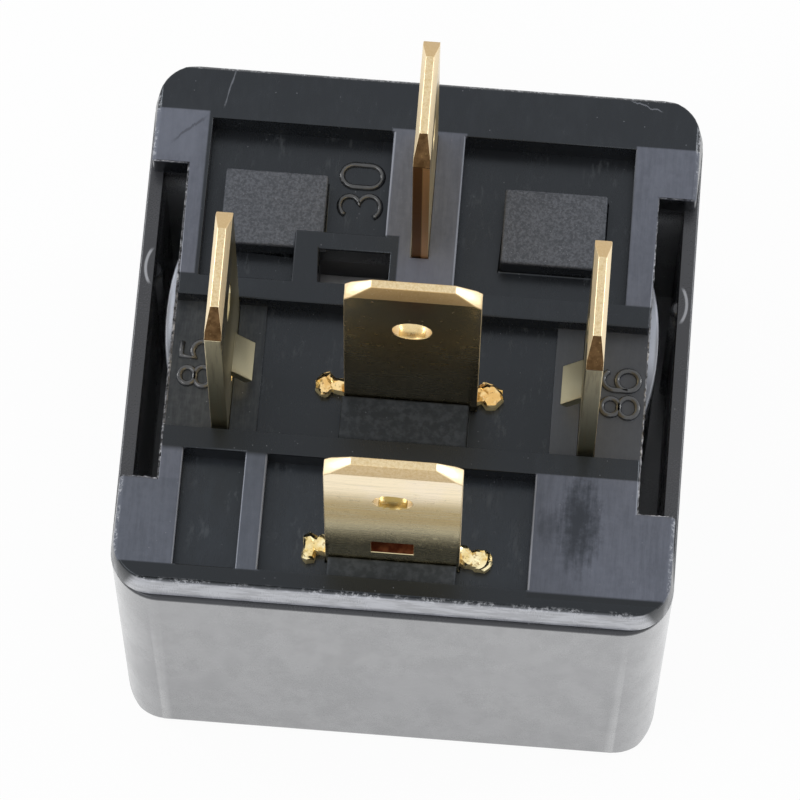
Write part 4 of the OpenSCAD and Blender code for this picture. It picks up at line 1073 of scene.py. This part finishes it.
class RELAY_OT_flash(bpy.types.Operator):
    """Thin ragged flash along the sheared edges of the header beside the pockets"""

    bl_idname = "relay.flash"
    bl_label = "Flash"

    def run(self, start, end, seed):
        """One straight run of flash, from place to place as seen from above."""
        reach = math.dist(start, end)
        middle = ((start[0] + end[0]) / 2, (start[1] + end[1]) / 2, TOP_Z - 0.1 * MM)
        axis = 0 if abs(end[0] - start[0]) > abs(end[1] - start[1]) else 1
        thick = 0.055 * MM
        scale = [thick, thick, thick]
        scale[axis] = reach
        deselect()
        bpy.ops.mesh.primitive_cube_add(size=1.0, location=middle)
        obj = bpy.context.object
        bpy.ops.object.mode_set(mode="EDIT")
        bpy.ops.mesh.select_all(action="SELECT")
        bpy.ops.transform.resize(value=scale, center_override=middle)
        bpy.ops.mesh.select_all(action="DESELECT")
        bpy.ops.object.mode_set(mode="OBJECT")
        for edge in obj.data.edges:
            a, b = (obj.data.vertices[i].co for i in edge.vertices)
            edge.select = abs(a[axis] - b[axis]) > reach * 0.5
        bpy.ops.object.mode_set(mode="EDIT")
        bpy.ops.mesh.select_mode(type="EDGE")
        bpy.ops.mesh.subdivide(number_cuts=max(8, int(reach / (0.11 * MM))))
        bpy.ops.mesh.select_all(action="SELECT")
        bpy.ops.transform.vertex_random(offset=0.05 * MM, uniform=0.0, normal=0.2, seed=seed)
        bpy.ops.object.mode_set(mode="OBJECT")
        bpy.ops.object.transform_apply(location=True, rotation=True, scale=True)
        return obj

    def execute(self, context):
        inner = 11.46 * MM
        outer = HEADER_TOP.x - 0.14 * MM
        ends = 8.15 * MM
        runs = []
        for side in (-1, 1):
            runs.append(((side * inner, -ends), (side * inner, ends)))
            for end in (-1, 1):
                runs.append(((side * inner, end * ends), (side * outer, end * ends)))
        obj = join([self.run(start, end, seed + 11) for seed, (start, end) in enumerate(runs)])
        obj.name = "header_flash"
        bpy.ops.object.shade_smooth_by_angle(angle=math.radians(40))
        obj.data.materials.append(flash_finish(context.scene.relay_plastic))
        finish_piece(obj, "header_plastic")
        return {"FINISHED"}


class RELAY_OT_numbers(bpy.types.Operator):
    """Raised terminal numbers 30, 85 and 86 beside their blades"""

    bl_idname = "relay.numbers"
    bl_label = "Numbers"

    def arc(self, cx, cy, rx, ry, start, end, steps=14):
        """Points along a part of an oval, between two angles in degrees."""
        turns = [math.radians(start + (end - start) * i / steps) for i in range(steps + 1)]
        return [(cx + rx * math.cos(a), cy + ry * math.sin(a)) for a in turns]

    def figure(self, digit):
        """Strokes of a figure, one unit high and one unit wide."""
        arc = self.arc
        return {
            "0": [arc(0.5, 0.68, 0.5, 0.32, 0, 180) + arc(0.5, 0.32, 0.5, 0.32, 180, 360) + [(1.0, 0.68)]],
            "3": [arc(0.48, 0.755, 0.44, 0.245, 155, -80) + arc(0.48, 0.27, 0.5, 0.27, 75, -155)],
            "5": [[(0.92, 1.0), (0.2, 1.0), (0.12, 0.56)] + arc(0.48, 0.33, 0.52, 0.33, 128, -150)],
            "6": [arc(0.5, 0.31, 0.5, 0.31, 0, 360, 20),
                  [(0.0, 0.31), (0.0, 0.62)] + arc(0.5, 0.66, 0.5, 0.34, 180, 35)],
            "8": [arc(0.5, 0.755, 0.42, 0.245, -90, 270, 18), arc(0.5, 0.265, 0.5, 0.265, 90, 450, 20)],
        }[digit]

    def execute(self, context):
        s = context.scene.relay_numbers
        finish = raised_finish()
        # Foot of the figures in X, start in Y, height, width and gap in millimetres, and the level
        layout = (
            ("number_30", "30", -2.05, 6.48, 2.0, 1.18, 0.40, REAR_FLOOR_Z),
            ("number_85", "85", -9.45, -3.05, 1.55, 1.0, 0.30, STEP_Z),
            ("number_86", "86", 11.15, -3.02, 1.75, 1.02, 0.36, STEP_Z),
        )
        for name, digits, foot, start, height, width, gap, level in layout:
            parts = []
            for i, digit in enumerate(digits):
                y0 = start + i * (width + gap)
                for line in self.figure(digit):
                    points = [((foot - v * height) * MM, (y0 + u * width) * MM, level) for u, v in line]
                    deselect()
                    part = stroke(points, name)
                    bpy.ops.object.convert(target="CURVE")
                    part = context.object
                    part.data.dimensions = "3D"
                    part.data.bevel_depth = s.stroke / 2
                    part.data.bevel_resolution = 3
                    part.data.use_fill_caps = True
                    bpy.ops.object.convert(target="MESH")
                    parts.append(context.object)
            obj = join(parts)
            bpy.ops.object.mode_set(mode="EDIT")
            bpy.ops.mesh.select_all(action="SELECT")
            bpy.ops.transform.resize(value=(1, 1, 2 * s.height / s.stroke), center_override=(0, 0, level))
            bpy.ops.mesh.remove_doubles(threshold=1e-7)
            bpy.ops.mesh.normals_make_consistent(inside=False)
            bpy.ops.object.mode_set(mode="OBJECT")
            bpy.ops.object.shade_smooth()
            obj.name = name
            obj.data.materials.clear()
            obj.data.materials.append(finish)
            finish_piece(obj, "header_plastic")
        return {"FINISHED"}


class RELAY_OT_works(bpy.types.Operator):
    """Finishes of the magnet, the contacts and the rivets inside the cover"""

    bl_idname = "relay.works"
    bl_label = "Works"

    def execute(self, context):
        metal = context.scene.relay_metal
        coil = context.scene.relay_coil
        plated = iron_finish("yoke_iron_finish", metal.iron)
        turned = iron_finish("core_iron_finish", metal.iron, (3.0, 3.0, 0.6), 0.6)
        stamped = iron_finish("armature_iron_finish", metal.iron, (6.0, 0.5, 6.0), 0.5)
        bronze = iron_finish("spring_bronze_finish", metal.bronze, (7.0, 0.6, 7.0), 0.5)
        zinc = iron_finish("rivet_zinc_finish", metal.zinc, (4.0, 4.0, 4.0), 1.2)
        silver = silver_finish()
        wire = wire_finish(metal)
        for names, material in (
                (("yoke",), plated), (("core",), turned), (("armature",), stamped),
                (("contact_spring",), bronze),
                (("armature_rivets", "yoke_rivets", "terminal_rivet"), zinc),
                (("moving_contact", "fixed_contact_no", "fixed_contact_nc"), silver),
                (("coil_lead_85", "coil_lead_86"), wire),
                (("bobbin",), bobbin_finish(coil)), (("coil_winding",), winding_finish(metal)),
                (("coil_tape",), tape_finish(coil))):
            for name in names:
                dress(name, material)
        return {"FINISHED"}


class RELAY_PT_panel(bpy.types.Panel):
    bl_label = "Relay"
    bl_idname = "RELAY_PT_panel"
    bl_space_type = "VIEW_3D"
    bl_region_type = "UI"
    bl_category = "Relay"

    def draw(self, context):
        for operator in OPERATORS:
            self.layout.operator(operator.bl_idname)


GROUPS = (("relay_stage", StageSettings), ("relay_plastic", PlasticSettings),
          ("relay_metal", MetalSettings), ("relay_coil", CoilSettings),
          ("relay_numbers", NumberSettings))
OPERATORS = (RELAY_OT_stage, RELAY_OT_header, RELAY_OT_cover, RELAY_OT_blades, RELAY_OT_lugs,
             RELAY_OT_numbers, RELAY_OT_flash, RELAY_OT_works)


def register():
    for name, group in GROUPS:
        bpy.utils.register_class(group)
        setattr(bpy.types.Scene, name, PointerProperty(type=group))
    for operator in OPERATORS:
        bpy.utils.register_class(operator)
    bpy.utils.register_class(RELAY_PT_panel)


def unregister():
    bpy.utils.unregister_class(RELAY_PT_panel)
    for operator in reversed(OPERATORS):
        bpy.utils.unregister_class(operator)
    for name, group in reversed(GROUPS):
        delattr(bpy.types.Scene, name)
        bpy.utils.unregister_class(group)


def main():
    register()
    bpy.ops.relay.stage()
    bpy.ops.relay.header()
    bpy.ops.relay.cover()
    bpy.ops.relay.blades()
    bpy.ops.relay.lugs()
    bpy.ops.relay.numbers()
    bpy.ops.relay.flash()
    bpy.ops.relay.works()


if __name__ == "__main__":
    main()
